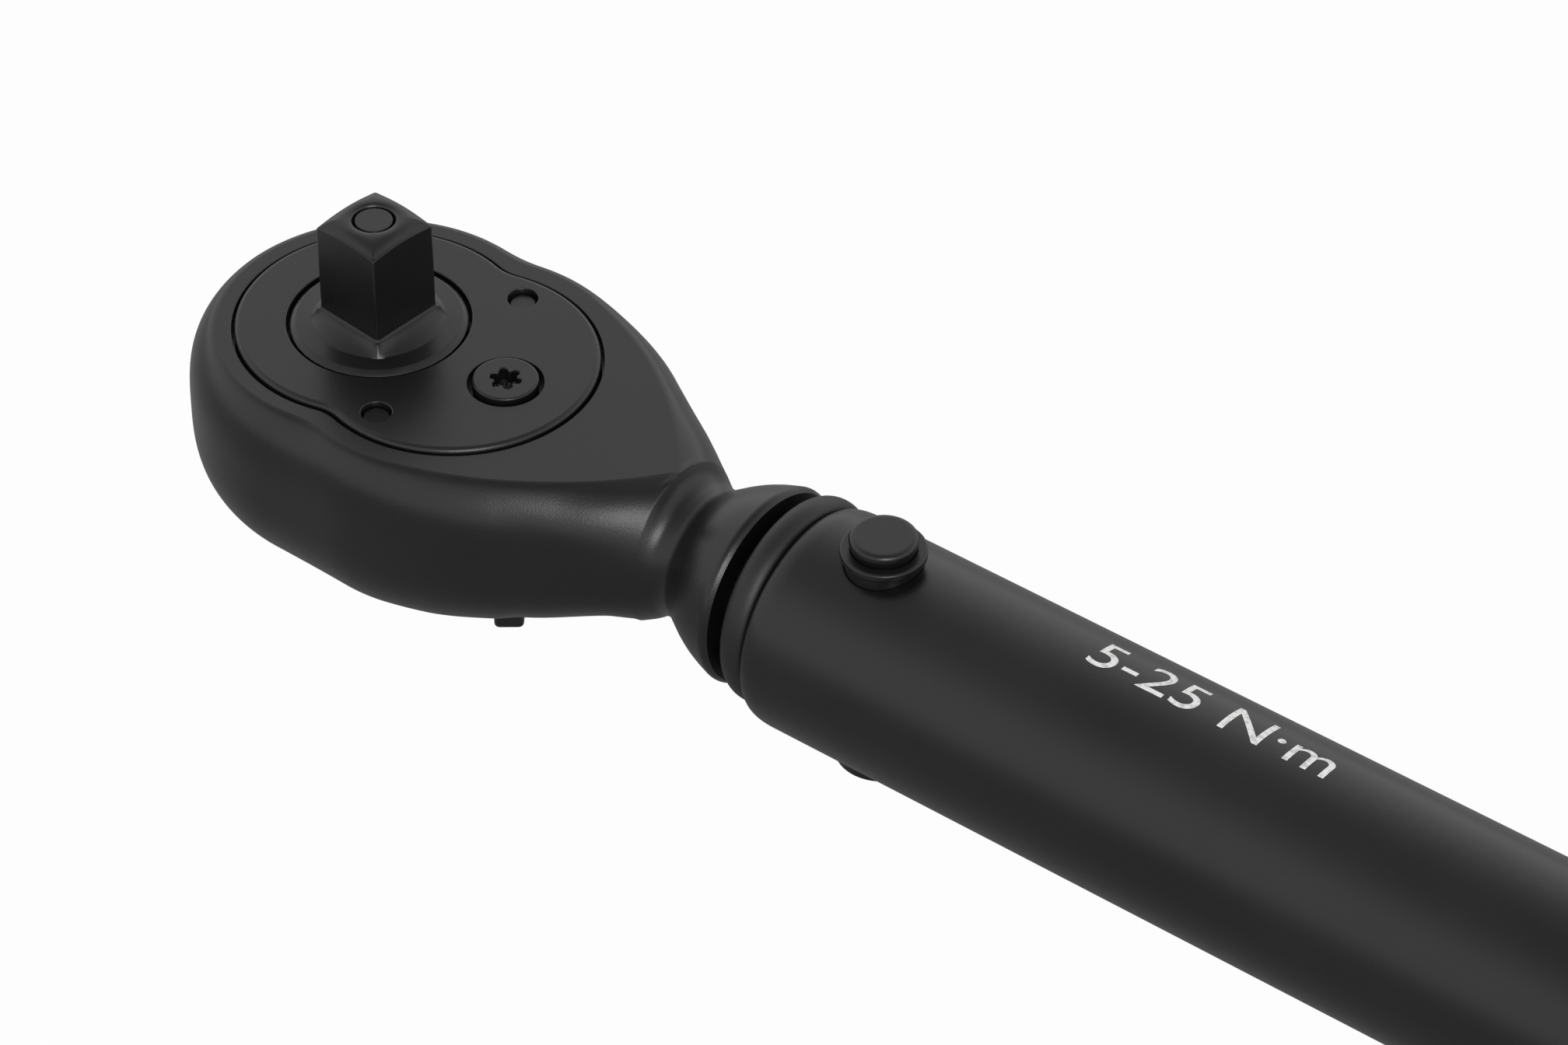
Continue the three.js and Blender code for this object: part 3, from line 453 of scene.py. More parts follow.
def tail(tip, inset, hollow_radius=10):
    """Half an outline like the face's: its start as far as the tail, and the arc to its tip."""
    lobe, radius = lobe_radius - inset, tail_radius - inset
    centre = crossing(lobe_place, tail_radius - lobe_radius, tip + inset, tail_radius)
    tangent = math.atan2(centre.y, lobe_place - centre.x)
    front = lobes(nose_radius - inset, lobe, lobe_place, hollow_radius + inset, tangent)
    sweep = arc((centre.x, -centre.y), radius, tangent, math.asin(centre.y / radius), 40)
    return spaced(front + sweep[1:16], wall_points), sweep


def swollen(points, amount, start, end):
    """Moves points outward, by an amount that grows from nothing between two places."""
    return [p + n * amount * smooth_step(start, end, p.x) for p, n in zip(points, normals(points))]


def head_rails():
    """Plan lines of the face's edge, the widest girth and the back's edge, nose to collar."""
    edge, sweep = tail(face_tip, 0)
    girth = swollen(tail(face_tip + 0.3, -wall_bulge, wall_hollow)[0], tail_bulge, 10, 21)
    back = swollen(tail(face_tip, wall_tuck, wall_hollow)[0], -tail_tuck, 14, 21)
    last, before = girth[-1], girth[-2]
    bend = last + (last - before).normalized() * 2.5
    girth_tail = eased([
        (last.x, last.y, 0), (bend.x, bend.y, 2.3), (corner_place, corner_half, 0.4),
        (waist_place, waist_radius, 1.2), (35.6, 7.35, 1.6), (38.2, collar_radius, 0.35),
        (collar_end, collar_radius - 0.35, 0),
    ], 10)
    corner, waist = (
        min(range(len(girth_tail)), key=lambda i: abs(girth_tail[i].x - place))
        for place in (corner_place, waist_place)
    )
    on_face = spaced([edge[-1]] + sweep[17:], tail_points)[1:]
    on_girth = spaced(girth_tail[:corner + 1], tail_points)[1:]
    heel = [back[-1]] + tail(face_tip - 1.5, wall_tuck + tail_tuck)[1][18:]
    heel = spaced(heel, tail_points)[1:]
    on_back = [Vector((p.x, max(p.y, 0))) for p in swollen(heel, -heel_tuck, 21, 28)]
    rails = [(a, b, c, face_height, back_height)
             for a, b, c in zip(edge + on_face, girth + on_girth, back + on_back)]
    waist_point = girth_tail[waist]
    top_drop = eased([
        (face_tip, face_height, 0), (30.4, 6.7, 0.35), (31.1, 6.1, 0.5),
        (waist_point.x, waist_point.y + neck_rise, 0),
    ])
    under = eased([
        (on_back[-1].x, back_height, 0), (29.8, -5.6, 0.6), (30.8, -4.9, 0.6),
        (waist_point.x, neck_rise - waist_point.y, 0),
    ])
    cove = (top_drop, girth_tail[corner:waist + 1], under)
    for t, b, u in zip(*(spaced(line, cove_points)[1:] for line in cove)):
        rails.append((Vector((t.x, 0)), b, Vector((u.x, 0)), t.y, u.y))
    for b in spaced(girth_tail[waist:], tail_points)[1:]:
        middle = Vector((b.x, 0))
        rails.append((middle, b, middle, b.y + neck_rise, neck_rise - b.y))
    return rails


def swell(share, fullness, rounding):
    """How far the wall stands out at a share of its half height: full, or round as a neck."""
    power = fullness + (2 - fullness) * rounding
    return max(1 - abs(share) ** power, 0) ** (1 / (1 + rounding))


def head_skin():
    """One side of the casting, drawn from its rails, and its mirror image."""
    rails = head_rails()
    rows, columns = 44, len(rails) - 1
    bm = bmesh.new()
    bmesh.ops.create_grid(bm, x_segments=columns, y_segments=rows, size=0.5)
    for v in bm.verts:
        i = round((v.co.x + 0.5) * columns)
        j = round((0.5 - v.co.y) * rows)
        edge, girth, back, top, under = rails[i]
        rounding = smooth_step(24.5, 30.5, girth.x)
        ease = min(crease_ease, 0.45 * edge.y) if edge.x > 0 else crease_ease
        start = 1 - 2 * ease / (top - under)
        if j <= crease_rows:
            # the crease between face and wall is rounded
            wall = edge.lerp(girth, swell(start, wall_fullness, rounding))
            inward = (edge - girth).normalized() * ease
            s = j / crease_rows
            plan = (edge + inward) * (1 - s) ** 2 + edge * 2 * s * (1 - s) + wall * s * s
            z = top - ease * s * s
        else:
            c = min(math.cos(math.pi * (j - crease_rows) / (rows - crease_rows)), start)
            if c > 0:
                plan = edge.lerp(girth, swell(c, wall_fullness, rounding))
            else:
                rounding = smooth_step(27.5, 31.5, girth.x)
                plan = back.lerp(girth, swell(c, low_fullness, rounding))
            z = under + (top - under) * (1 + c) / 2
        v.co = (plan.x, plan.y, z)
    bmesh.ops.mirror(bm, geom=bm.verts[:] + bm.edges[:] + bm.faces[:], axis="Y", merge_dist=0.001)
    bmesh.ops.remove_doubles(bm, verts=bm.verts, dist=0.002)
    return bm


def plate_outline(grow, count):
    """The cover plate's outline or, grown, its pocket's."""
    half = lobes(plate_nose + grow, plate_lobe + grow, plate_place, plate_hollow - grow, 0)
    return mirror_y(spaced(half, count))


def head_casting():
    bm = head_skin()
    rim = [e for e in bm.edges if e.is_boundary]
    face = [e for e in rim if all(abs(v.co.z - face_height) < 0.01 for v in e.verts)]
    back = [e for e in rim if all(abs(v.co.z - back_height) < 0.01 for v in e.verts)]
    collar = [e for e in rim if all(v.co.x > collar_end - 0.05 for v in e.verts)]
    mouth = loop(bm, plate_outline(pocket_gap, 220), face_height)
    fill(bm, face + mouth)
    for drop, narrowed in ((0.03, 0.075), (0.10, 0.10), (1.15, 0.10), (1.35, 0.0)):
        wall = plate_outline(pocket_gap - narrowed, 220)
        mouth = bridge(bm, mouth, loop(bm, wall, face_height - drop))
    for open_loop in (mouth, back, collar):
        fill(bm, open_loop)
    return tidy(bm)


def along_x(bm):
    """Turns a shape drawn round the Z axis to lie along the tube, Z to X."""
    swap = Matrix(((0, 0, 1), (0, 1, 0), (-1, 0, 0)))
    bmesh.ops.transform(bm, matrix=swap.to_4x4(), verts=bm.verts)
    return bm


def arm():
    start = collar_end - 4
    bar = slab([
        (start, -arm_half_width), (arm_end, -arm_half_width), (arm_end, -notch_half),
        (arm_end - notch_depth, 0), (arm_end, notch_half), (arm_end, arm_half_width),
        (start, arm_half_width),
    ], -arm_half_height, arm_half_height, [circle(arm_bore, 48, pivot_place)])
    sides = [e for e in bar.edges if all(abs(v.co.y) > arm_half_width - 0.1 for v in e.verts)]
    long_edges = [e for e in sides if abs(e.verts[0].co.x - e.verts[1].co.x) > 20]
    spigot = rod(spigot_radius, collar_end - 2, collar_end + 1.25)
    return join(bevel(bar, long_edges, 0.6, 3), along_x(spigot))


# each cutter's ends lie a little off the next one's, so that no two faces coincide
pawl_room = (
    arc((0, 0), pawl_reach, -pawl_sweep, pawl_sweep, 32)
    + arc((0, 0), pawl_back, pawl_sweep, -pawl_sweep, 32)
)
casting = cut(
    head_casting(),
    rod(chamber_radius, pocket_floor, chamber_top),
    rod(pawl_bore, pocket_floor - 0.002, chamber_top + 0.02, screw_place),
    slab(pawl_room, pocket_floor + 0.002, chamber_top + 0.04),
    rod(button_bore, back_height - 1, 0),
    rod(ring_bore, back_height - 1, ring_seat),
    rod(shaft_bore, back_height - 1, 0, screw_place),
    *[rod(dowel_bore, pocket_floor + 0.004, chamber_top + 0.05, x, y, 32)
      for x, y in dowel_places],
)
blacked_casting = blacked("blasted and blacked casting", "blacked_casting", 0.004, 0.31,
                          0.13, 0.010)
piece("head_casting", join(casting, arm()), blacked_casting, "head", "ratchet_head")

# ---- Ratchet gear with the drive square ----
# Turned, milled and blacked in one piece: teeth inside the head, a journal disc that shows
# in the cover plate, a low hill on it and the square, whose tip is domed between flats.

square_half = 3.175
square_edge = 0.12
square_turn = math.radians(-5.5)
square_tip = 17.85
square_corner = square_half * math.sqrt(2)
tip_flat = 2.25
tip_drop = 0.87
tip_arch = 0.3
tip_edge = 0.09
foot_fillet = 0.3
disc_radius = 7.0
disc_top = 8.12
hill_radius = 5.35
hill_height = 1.0
rod_hole = 1.65
rod_mouth = 1.8
ball_height = 14.25
ball_hole = 1.07
gear_radius = 8.65
gear_teeth = 36
gear_top, gear_foot = 6.2, -3.05
rear_bore = 3.55
journal_radius, journal_end = 5.6, -6.9
groove_radius, groove_top, groove_foot = 5.1, -5.5, -6.5

near_corner = [45, 44, 43, 42, 40.5, 38, 33, 26, 18, 9]
quarter = [-a for a in near_corner] + [0] + near_corner[:0:-1]
bearings = [math.radians(side * 90 + a) for side in range(4) for a in quarter]


def square_reach(a):
    """From the axis to the square's outline, whose corners are rounded, at a bearing."""
    c, s = abs(math.cos(a)), abs(math.sin(a))
    big, small = max(c, s), min(c, s)
    flat = square_half - square_edge
    if small / big * square_half <= flat:
        return square_half / big
    along = flat * (big + small)
    return along + math.sqrt(max(along * along - 2 * flat * flat + square_edge ** 2, 0))


def tip_rim(a):
    """Height of the tip's rim at a bearing: lowest at the corners, arched between them."""
    outward = (square_reach(a) - square_half) / (square_corner - square_half)
    return square_tip - tip_drop + tip_arch * (1 - outward)


def ring(radius_at, height_at):
    """A ring of points round the drive's axis; radius and height may depend on the bearing."""
    points = []
    for a in bearings:
        r = radius_at(a) if callable(radius_at) else radius_at
        z = height_at(a) if callable(height_at) else height_at
        points.append((r * math.cos(a), r * math.sin(a), z))
    return points


def skin(rings, closed=False):
    """Rings of points joined in order. The first and last are joined too, or each is filled."""
    bm = bmesh.new()
    loops = [loop(bm, points) for points in rings]
    for a, b in zip(loops, loops[1:]):
        bridge(bm, a, b)
    if closed:
        bridge(bm, loops[0], loops[-1])
    else:
        fill(bm, loops[0])
        fill(bm, loops[-1])
    return tidy(bm)


def square_rings():
    """The disc, the hill and the square with its tip, as far as the rod's hole inside."""
    rings = [ring(disc_radius, z) for z in (6.0, 7.72, 7.76)]
    rings += [ring(disc_radius - 0.04, 7.80), ring(disc_radius - 0.42, disc_top - 0.02)]
    rings += [ring(disc_radius - 0.52, disc_top)]
    for k in range(1, 11):
        share = k / 10
        rise = hill_height * (0.75 * share + 0.25 * share ** 3) * smooth_step(-0.1, 0.25, share)
        rings.append(ring(
            lambda a: square_reach(a) + foot_fillet
            + (hill_radius - square_reach(a) - foot_fillet) * (1 - share),
            disc_top + rise))
    foot = disc_top + hill_height
    for a in (math.pi / 6, math.pi / 3, math.pi / 2):
        out, up = foot_fillet * (1 - math.sin(a)), foot_fillet * (1 - math.cos(a))
        rings.append(ring(lambda b: square_reach(b) + out, foot + up))
    rings.append(ring(square_reach, 12.0))
    rings.append(ring(square_reach, lambda a: tip_rim(a) - tip_edge))
    for a in (math.pi / 6, math.pi / 3, math.pi / 2):
        inset, drop = tip_edge * (1 - math.cos(a)), tip_edge * (1 - math.sin(a))
        rings.append(ring(lambda b: square_reach(b) - inset, lambda b: tip_rim(b) - drop))
    for k in range(1, 11):
        share = k / 10
        rings.append(ring(
            lambda a: (square_reach(a) - tip_edge) * (1 - share) + (tip_flat - 0.1) * share,
            lambda a: square_tip - (square_tip - tip_rim(a)) * (1 - share) ** 2.3))
    rings += [ring(rod_mouth + 0.05, square_tip - 0.01), ring(rod_mouth, square_tip - 0.04)]
    rings += [ring(rod_hole + 0.03, square_tip - 0.16), ring(rod_hole, square_tip - 0.3)]
    rings += [ring(rod_hole, 0.0), ring(disc_radius, 0.0)]
    return rings


def gear_outline():
    pitch = 2 * math.pi / gear_teeth
    points = []
    for tooth in range(gear_teeth):
        for share, drop in ((-0.42, 0.75), (-0.07, 0.02), (0, 0), (0.07, 0.02), (0.42, 0.75)):
            a = (tooth + share) * pitch - square_turn
            reach = gear_radius - drop
            points.append(Vector((reach * math.cos(a), reach * math.sin(a))))
    return points


def rotate(bm, angle, axis):
    bmesh.ops.rotate(bm, cent=(0, 0, 0), matrix=Matrix.Rotation(angle, 3, axis), verts=bm.verts)
    return bm


def drive_gear():
    post = skin(square_rings(), closed=True)
    teeth = slab(gear_outline(), gear_foot, gear_top, [circle(6.2, 48)])
    rear = turned(eased([
        (rear_bore, 0.5, 0), (6.4, 0.5, 0), (6.4, gear_foot, 0), (journal_radius, gear_foot, 0),
        (journal_radius, groove_top, 0), (groove_radius, groove_top, 0),
        (groove_radius, groove_foot, 0), (journal_radius, groove_foot, 0),
        (journal_radius, journal_end, 0.3), (rear_bore + 0.35, journal_end, 0.2),
        (rear_bore, journal_end + 0.35, 0), (rear_bore, 0.4, 0),
    ]))
    bore = rotate(rod(ball_hole, 0, square_half + 1, steps=48), -math.pi / 2, "X")
    return rotate(join(cut(post, move(bore, z=ball_height)), teeth, rear), square_turn, "Z")


blacked_steel = blacked("ground and blacked steel", "blacked_steel", 0.0042, 0.30, 0.10, 0.008)
piece("ratchet_gear", drive_gear(), blacked_steel, "drive", "drive_gear")

# ---- Cover plate ----
# A stamped and ground steel plate of two lobes in the head's pocket. Its edges are rolled
# over, and it has holes for the journal disc, the screw and two dowels.

plate_top = 7.95
plate_bottom = 6.35
plate_edge = 0.42
disc_hole = 7.26
screw_seat = 2.98
seat_depth = 1.1
seat_hole = 1.65
dowel_hole = 1.2
through = 9


def edged_plate(outline, low, high, edge, holes):
    """A plate whose rim is rolled over, with holes as (centre, radius, edge, depth)."""
    bm = bmesh.new()
    top = loop(bm, outline(-edge, 200), high)
    rims = [loop(bm, circle(radius + lip, 96, x, y), high) for (x, y), radius, lip, _ in holes]
    fill(bm, top + [e for rim in rims for e in rim])
    for k in range(1, 7):
        a = math.pi / 2 * k / 6
        rolled = outline(-edge * (1 - math.sin(a)), 200)
        top = bridge(bm, top, loop(bm, rolled, high - edge * (1 - math.cos(a))))
    foot = bridge(bm, top, loop(bm, outline(0, 200), low))
    floors = []
    for ((x, y), radius, lip, depth), rim in zip(holes, rims):
        steps = []
        for k in (1, 2, 3):
            a = math.pi / 2 * k / 3
            steps.append((radius + lip * (1 - math.sin(a)), high - lip * (1 - math.cos(a))))
        steps.append((radius, max(high - depth, low)))
        if high - depth > low:
            steps += [(seat_hole, high - depth), (seat_hole, low)]
        for reach, height in steps:
            rim = bridge(bm, rim, loop(bm, circle(reach, 96, x, y), height))
        floors += rim
    fill(bm, foot + floors)
    return tidy(bm)


blacked_plate = blacked("ground and blacked plate", "blacked_plate", 0.004, 0.30, 0.10, 0.006)
piece("plate", edged_plate(plate_outline, plate_bottom, plate_top, plate_edge, [
    ((0, 0), disc_hole, 0.10, through), ((screw_place, 0), screw_seat, 0.08, seat_depth),
    *[(place, dowel_hole, 0.09, through) for place in dowel_places],
]), blacked_plate, "head", "cover_plate")

# ---- Dowels ----
# Two ground pins pressed into the casting. They locate the cover plate, and their rounded
# ends stand just below its face.

dowel_radius = 1.05
dowel_foot = -3.1
dowel_top = 7.5

for x, y in dowel_places:
    dowel = turned(eased([
        (0, dowel_foot, 0), (dowel_radius, dowel_foot, 0), (dowel_radius, dowel_top, 0.16),
        (0, dowel_top, 0),
    ]), 64)
    near = "dowel_right" if y < 0 else "dowel_left"
    piece(near + "_pin", move(dowel, x, y), blacked_steel, "head", near)

# ---- Cover screw ----
# A flat-headed screw with a six-lobe socket, sunk in the plate and turned into the shaft of
# the reversing lever below it. It is blacked, and the edge of its head is broken.

screw_top = 8.32
screw_head = 2.6
screw_shank = 1.5


def six_lobes(core, lobe, place):
    """The socket's outline: a round core and six round lobes at a place from its middle."""
    points = []
    for i in range(180):
        a = 2 * math.pi * i / 180
        off = (a + math.pi / 6) % (math.pi / 3) - math.pi / 6
        across = place * math.sin(off)
        reach = core
        if abs(across) < lobe:
            reach = max(core, place * math.cos(off) + math.sqrt(lobe ** 2 - across ** 2))
        points.append(Vector((reach * math.cos(a + 0.35), reach * math.sin(a + 0.35))))
    return points


screw = turned(eased([
    (0, 2.95, 0), (screw_shank, 2.95, 0), (screw_shank, 6.95, 0), (screw_head - 0.02, 6.95, 0.1),
    (screw_head, screw_top, 0.2), (0, screw_top, 0),
]), 128)
wide, narrow = six_lobes(0.92, 0.40, 0.98), six_lobes(0.88, 0.34, 0.94)
recess = skin([[(p.x * share, p.y * share, screw_top + height) for p in outline]
               for outline, share, height in (
                   (wide, 1, 0.5), (wide, 1, 0), (narrow, 1, -0.07), (narrow, 1, -1.1),
                   (narrow, 0.3, -1.45))])
piece("plate_screw", move(cut(screw, recess), screw_place), blacked_steel, "lever", "cover_screw")

# ---- Release rod, button and ball ----
# The button on the back of the head moves a rod through the square. Its rounded end shows in
# the tip, and a groove in it lets the bright ball sink into the square.

rod_end = 17.70
rod_radius = 1.5
rod_groove = 0.7
button_radius = 3.4
button_top, button_foot = -4.2, -9.0


def extent(node):
    """A node's box in millimetres from the drive's and the tube's axes."""
    return [(corner - origin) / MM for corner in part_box(node)]


rod_shape = turned(eased([
    (0, button_foot + 1, 0), (1.35, button_foot + 1, 0), (1.35, -1.1, 0), (1.52, -0.1, 0.1),
    (1.52, 10.9, 0.1), (rod_groove, 11.65, 0.1), (rod_groove, 12.9, 0.1), (1.24, 14.25, 0.1),
    (1.24, 14.85, 0.1), (rod_radius, 15.4, 0.1), (rod_radius, rod_end, 0.1), (0, rod_end, 0),
]), 96)
piece("rod", rod_shape, blacked_steel, "release", "release_rod")

button = turned(eased([
    (0, button_top, 0), (1.45, button_top, 0), (button_radius, button_top, 0.1),
    (button_radius, button_foot, 0.75),
    (2.2, button_foot, 0.3), (1.6, button_foot + 0.22, 0.3), (0, button_foot + 0.28, 0),
]), 128)
piece("button", button, blacked_steel, "release", "release_button")

bright_steel = Finish("polished steel", "bright_steel", (0.62, 0.63, 0.65), 0.14, Metallic=1.0)
bright_steel.feed(Roughness=0.12 + bright_steel.noise(900.0) * 0.10)
ball_low, ball_high = extent("retaining_ball")
ball = bmesh.new()
bmesh.ops.create_uvsphere(ball, u_segments=48, v_segments=32, radius=(ball_high.x - ball_low.x) / 2)
piece("ball", move(ball, *(ball_low + ball_high) / 2), bright_steel, "ball", "retaining_ball")

# ---- Reversing lever ----
# A forged lever on the back of the head: a hub with a thumb blade, on a shaft that runs up
# through the casting to the cover screw.

lever_angle = math.radians(-52)
hub_radius, hub_top, hub_foot = 4.6, -6.85, -8.45
shaft_radius, shaft_top = 2.6, 6.2
thread_radius, thread_foot = 1.62, 2.4
blade_length, blade_top, blade_foot = 8.8, -7.0, -9.65
shaft = turned(eased([
    (0, hub_foot, 0), (hub_radius, hub_foot, 0.45), (hub_radius, hub_top, 0.1),
    (shaft_radius, hub_top, 0.1), (shaft_radius, shaft_top, 0.1), (thread_radius, shaft_top, 0),
    (thread_radius, thread_foot, 0), (0, thread_foot, 0),
]), 96)
blade = slab(eased([
    (0, -1.6, 0), (3.5, -1.35, 1.0), (blade_length, -1.15, 0.5), (blade_length, 1.15, 0.5),
    (3.5, 1.35, 1.0), (0, 1.6, 0),
], 8), blade_foot, blade_top)
blade_rim = [e for e in blade.edges if e.calc_face_angle(0) > 1
             and all(v.co.z < blade_foot + 0.1 for v in e.verts)]
bevel(blade, blade_rim, 0.25, 4)
lever = move(rotate(join(shaft, blade), lever_angle, "Z"), screw_place)
piece("lever", lever, blacked_steel, "lever", "reversing_lever")

# ---- Tube ----
# Drawn steel tube, blacked to a satin finish, with a rounded mouth, a cross hole for the
# pivot's bushes, a window over the scale and a hole for the grip's pin.

tube_start = 42.3
tube_end = 236.0
tube_radius = 8.95
tube_bore = 7.6
mouth_round = 0.5
mouth_length = 1.7
upper_hole = 3.08
lower_hole = 3.7
window_front, window_rear, window_half = 163, 188, 2.4
grip_pin_place, grip_pin_hole = 205, 1.6


def box_shape(x0, x1, half_width, z0, z1):
    bm = bmesh.new()
    bmesh.ops.create_cube(bm, size=1)
    bmesh.ops.scale(bm, vec=(x1 - x0, 2 * half_width, z1 - z0), verts=bm.verts)
    return move(bm, (x0 + x1) / 2, 0, (z0 + z1) / 2)


tube_line = [(tube_bore, tube_start + 0.1), (tube_bore + 0.12, tube_start),
             (tube_radius - mouth_round, tube_start)]
for k in range(1, 9):
    a = math.pi / 2 * k / 8
    tube_line.append((tube_radius - mouth_round * (1 - math.sin(a)),
                      tube_start + mouth_length * (1 - math.cos(a))))
stations = [45.0, 46.0, 46.8, 47.6, 48.4, 49.3, 50.2, 51.0, 51.8, 52.6]
stations += [54 + 6.0 * k for k in range(30)]
tube_line += [(tube_radius, x) for x in stations]
tube_line += [(tube_radius, tube_end - 0.2), (tube_radius - 0.2, tube_end), (tube_bore, tube_end)]
tube = cut(
    along_x(turned(tube_line, 144)),
    rod(upper_hole, 0, tube_radius + 1, pivot_place),
    rod(lower_hole, -tube_radius - 1, 0, pivot_place),
    box_shape(window_front, window_rear, window_half, 0, tube_radius + 1),
    rod(grip_pin_hole, -tube_radius - 1, 0, grip_pin_place, steps=32),
)
blacked_tube = blacked("satin blacked tube", "blacked_tube", 0.0038, 0.32, 0.16, 0.006)
piece("handle_tube", tube, blacked_tube, "tube_body", "tube")

# ---- Torque range on the tube ----
# The wrench's range in newton metres, printed in white ink on the finished tube. It runs
# along the crown and a little way down the far side.

print_start = 67.6
print_length = 21.0
print_height = 3.4
print_rise = 0.015
print_bends = 24


def lettered(words, height):
    """Words as a flat mesh of a given height, with its lower left corner at the origin."""
    lettering = bpy.data.curves.new("words", "FONT")
    lettering.body = words
    written = bpy.data.objects.new("words", lettering)
    bpy.context.collection.objects.link(written)
    bpy.context.view_layer.update()
    mesh = bpy.data.meshes.new_from_object(
        written.evaluated_get(bpy.context.evaluated_depsgraph_get()))
    bpy.data.objects.remove(written)
    bm = bmesh.new()
    bm.from_mesh(mesh)
    bmesh.ops.remove_doubles(bm, verts=bm.verts, dist=0.0001)
    left, foot = min(v.co.x for v in bm.verts), min(v.co.y for v in bm.verts)
    size = height / (max(v.co.y for v in bm.verts) - foot)
    move(bm, -left, -foot)
    bmesh.ops.scale(bm, vec=(size, size, size), verts=bm.verts)
    return bm


def mottled(name, slot, colour, roughness, spots, first, second):
    """Ink or print in two close tones, in spots of a scale, a detail and a low and high limit."""
    scale, detail, low, high = spots
    f = Finish(name, slot, colour, roughness)
    f.feed(Base_Color=f.blend(f.limits(f.noise(scale, detail), low, high), first, second))
    return f


ink = lettered("5-25 N\u00b7m", print_height)
low_x, high_x = min(v.co.x for v in ink.verts), max(v.co.x for v in ink.verts)
low_y, high_y = min(v.co.y for v in ink.verts), max(v.co.y for v in ink.verts)
for bend in range(1, print_bends):
    line = low_y + (high_y - low_y) * bend / print_bends
    bmesh.ops.bisect_plane(ink, geom=ink.verts[:] + ink.edges[:] + ink.faces[:],
                           plane_co=(0, line, 0), plane_no=(0, 1, 0))
for v in ink.verts:
    along = print_start + (v.co.x - low_x) / (high_x - low_x) * print_length
    round_tube = (v.co.y - low_y) / (high_y - low_y) * print_height / tube_radius
    out = tube_radius + print_rise
    v.co = (along, out * math.sin(round_tube), out * math.cos(round_tube))
white_ink = mottled("white ink", "scale_white", (0.80, 0.80, 0.79), 0.55,
                    (2600.0, 4.0, 0.35, 0.55), (0.55, 0.55, 0.55), (0.82, 0.82, 0.81))
piece("range_print", ink, white_ink, "tube_body")

# ---- Bead in the tube's mouth ----
# A moulded rubber ring pushed into the tube. Its round bead closes the slit between the
# collar and the tube, and gives way when the head swings.

bead_rise = 0.65
bead_bore = 7.05
bead_radius = 8.5
bead_round = 0.75
bead_front, bead_rear = 39.95, 42.2
ring_rear = 43.8

bead_line = [(bead_bore, bead_front + 0.05)]
for k in range(17):
    a = math.pi * k / 16
    bead_line.append((bead_radius - bead_round * (1 - math.sin(a)),
                      bead_front + (bead_rear - bead_front) / 2 * (1 - math.cos(a))))
bead_line += [(tube_bore - 0.1, bead_rear), (tube_bore - 0.1, ring_rear), (bead_bore, ring_rear)]
bead = along_x(turned(bead_line, 144))
for v in bead.verts:
    # the bead itself is pushed up against the collar
    if v.co.x < tube_start:
        v.co.z += bead_rise
black_rubber = Finish("black rubber", "black_rubber", (0.006, 0.006, 0.006), 0.42)
rubber_grain = black_rubber.noise(5200.0, 3.0)
black_rubber.feed(Roughness=0.40 + rubber_grain * 0.14,
                  Normal=black_rubber.bump(rubber_grain, 0.01))
piece("mouth_bead", bead, black_rubber, "tube_body", "seal_ring")

# ---- Pivot pin and its bushes ----
# The pin that the arm swings on, with broad rounded ends. It sits in two bushes pressed
# into the tube, a flanged one above and a plain one below.

pin_top, pin_foot = 11.39, -10.2
pin_radius, shank_radius = 2.64, 2.46
bush_bore, bush_end = 2.74, 4.6
flange_radius, flange_foot, flange_top = 3.32, 9.5, 10.2
pin = turned(eased([
    (0, pin_foot, 0), (pin_radius, pin_foot, 0.2), (pin_radius, -9.4, 0.1),
    (shank_radius, -9.2, 0.1), (shank_radius, flange_top, 0.3), (pin_radius, 10.75, 0.3),
    (pin_radius, pin_top, 0.5), (0, pin_top, 0),
], 8), 128)
piece("arm_pin", move(pin, pivot_place), blacked_steel, "tube_body", "pivot_pin")

upper_bush = [
    (bush_bore, bush_end, 0), (upper_hole - 0.08, bush_end, 0),
    (upper_hole - 0.08, flange_foot, 0.1), (flange_radius, flange_foot, 0.2),
    (flange_radius, flange_top, 0.22), (shank_radius + 0.08, flange_top, 0.05),
    (shank_radius + 0.08, 9.0, 0), (bush_bore, 8.6, 0), (bush_bore, bush_end + 0.1, 0),
]
lower_bush = [
    (bush_bore, -bush_end, 0), (lower_hole - 0.1, -bush_end, 0),
    (lower_hole - 0.1, pin_foot, 0.2), (bush_bore, pin_foot, 0.1), (bush_bore, -bush_end - 0.1, 0),
]
for profile, name in ((upper_bush, "upper"), (lower_bush, "lower")):
    bush = move(turned(eased(profile), 128), pivot_place)
    piece("arm_bush_" + name, bush, blacked_steel, "tube_body", "pivot_bush_" + name)

# ---- Grip ----
# A glass-filled nylon moulding pushed over the tube and pinned to it: soft six-sided section,
# a tapered nose with a groove, a recess for the window and a slot for the lock's slider.


def span(node):
    """Where a node starts and ends along the tube."""
    return [corner.x for corner in extent(node)]


grip_front, grip_rear = span("grip")
sleeve_front, sleeve_rear = span("grip_sleeve")
lens_front, lens_rear = span("scale_lens")
slider_front, slider_rear = span("lock_slider")
grip_bore = 9.05
round_core = 9.4
sleeve_core = 11.2
lens_half = 4.1
slider_half = 3.0
fit = 0.1


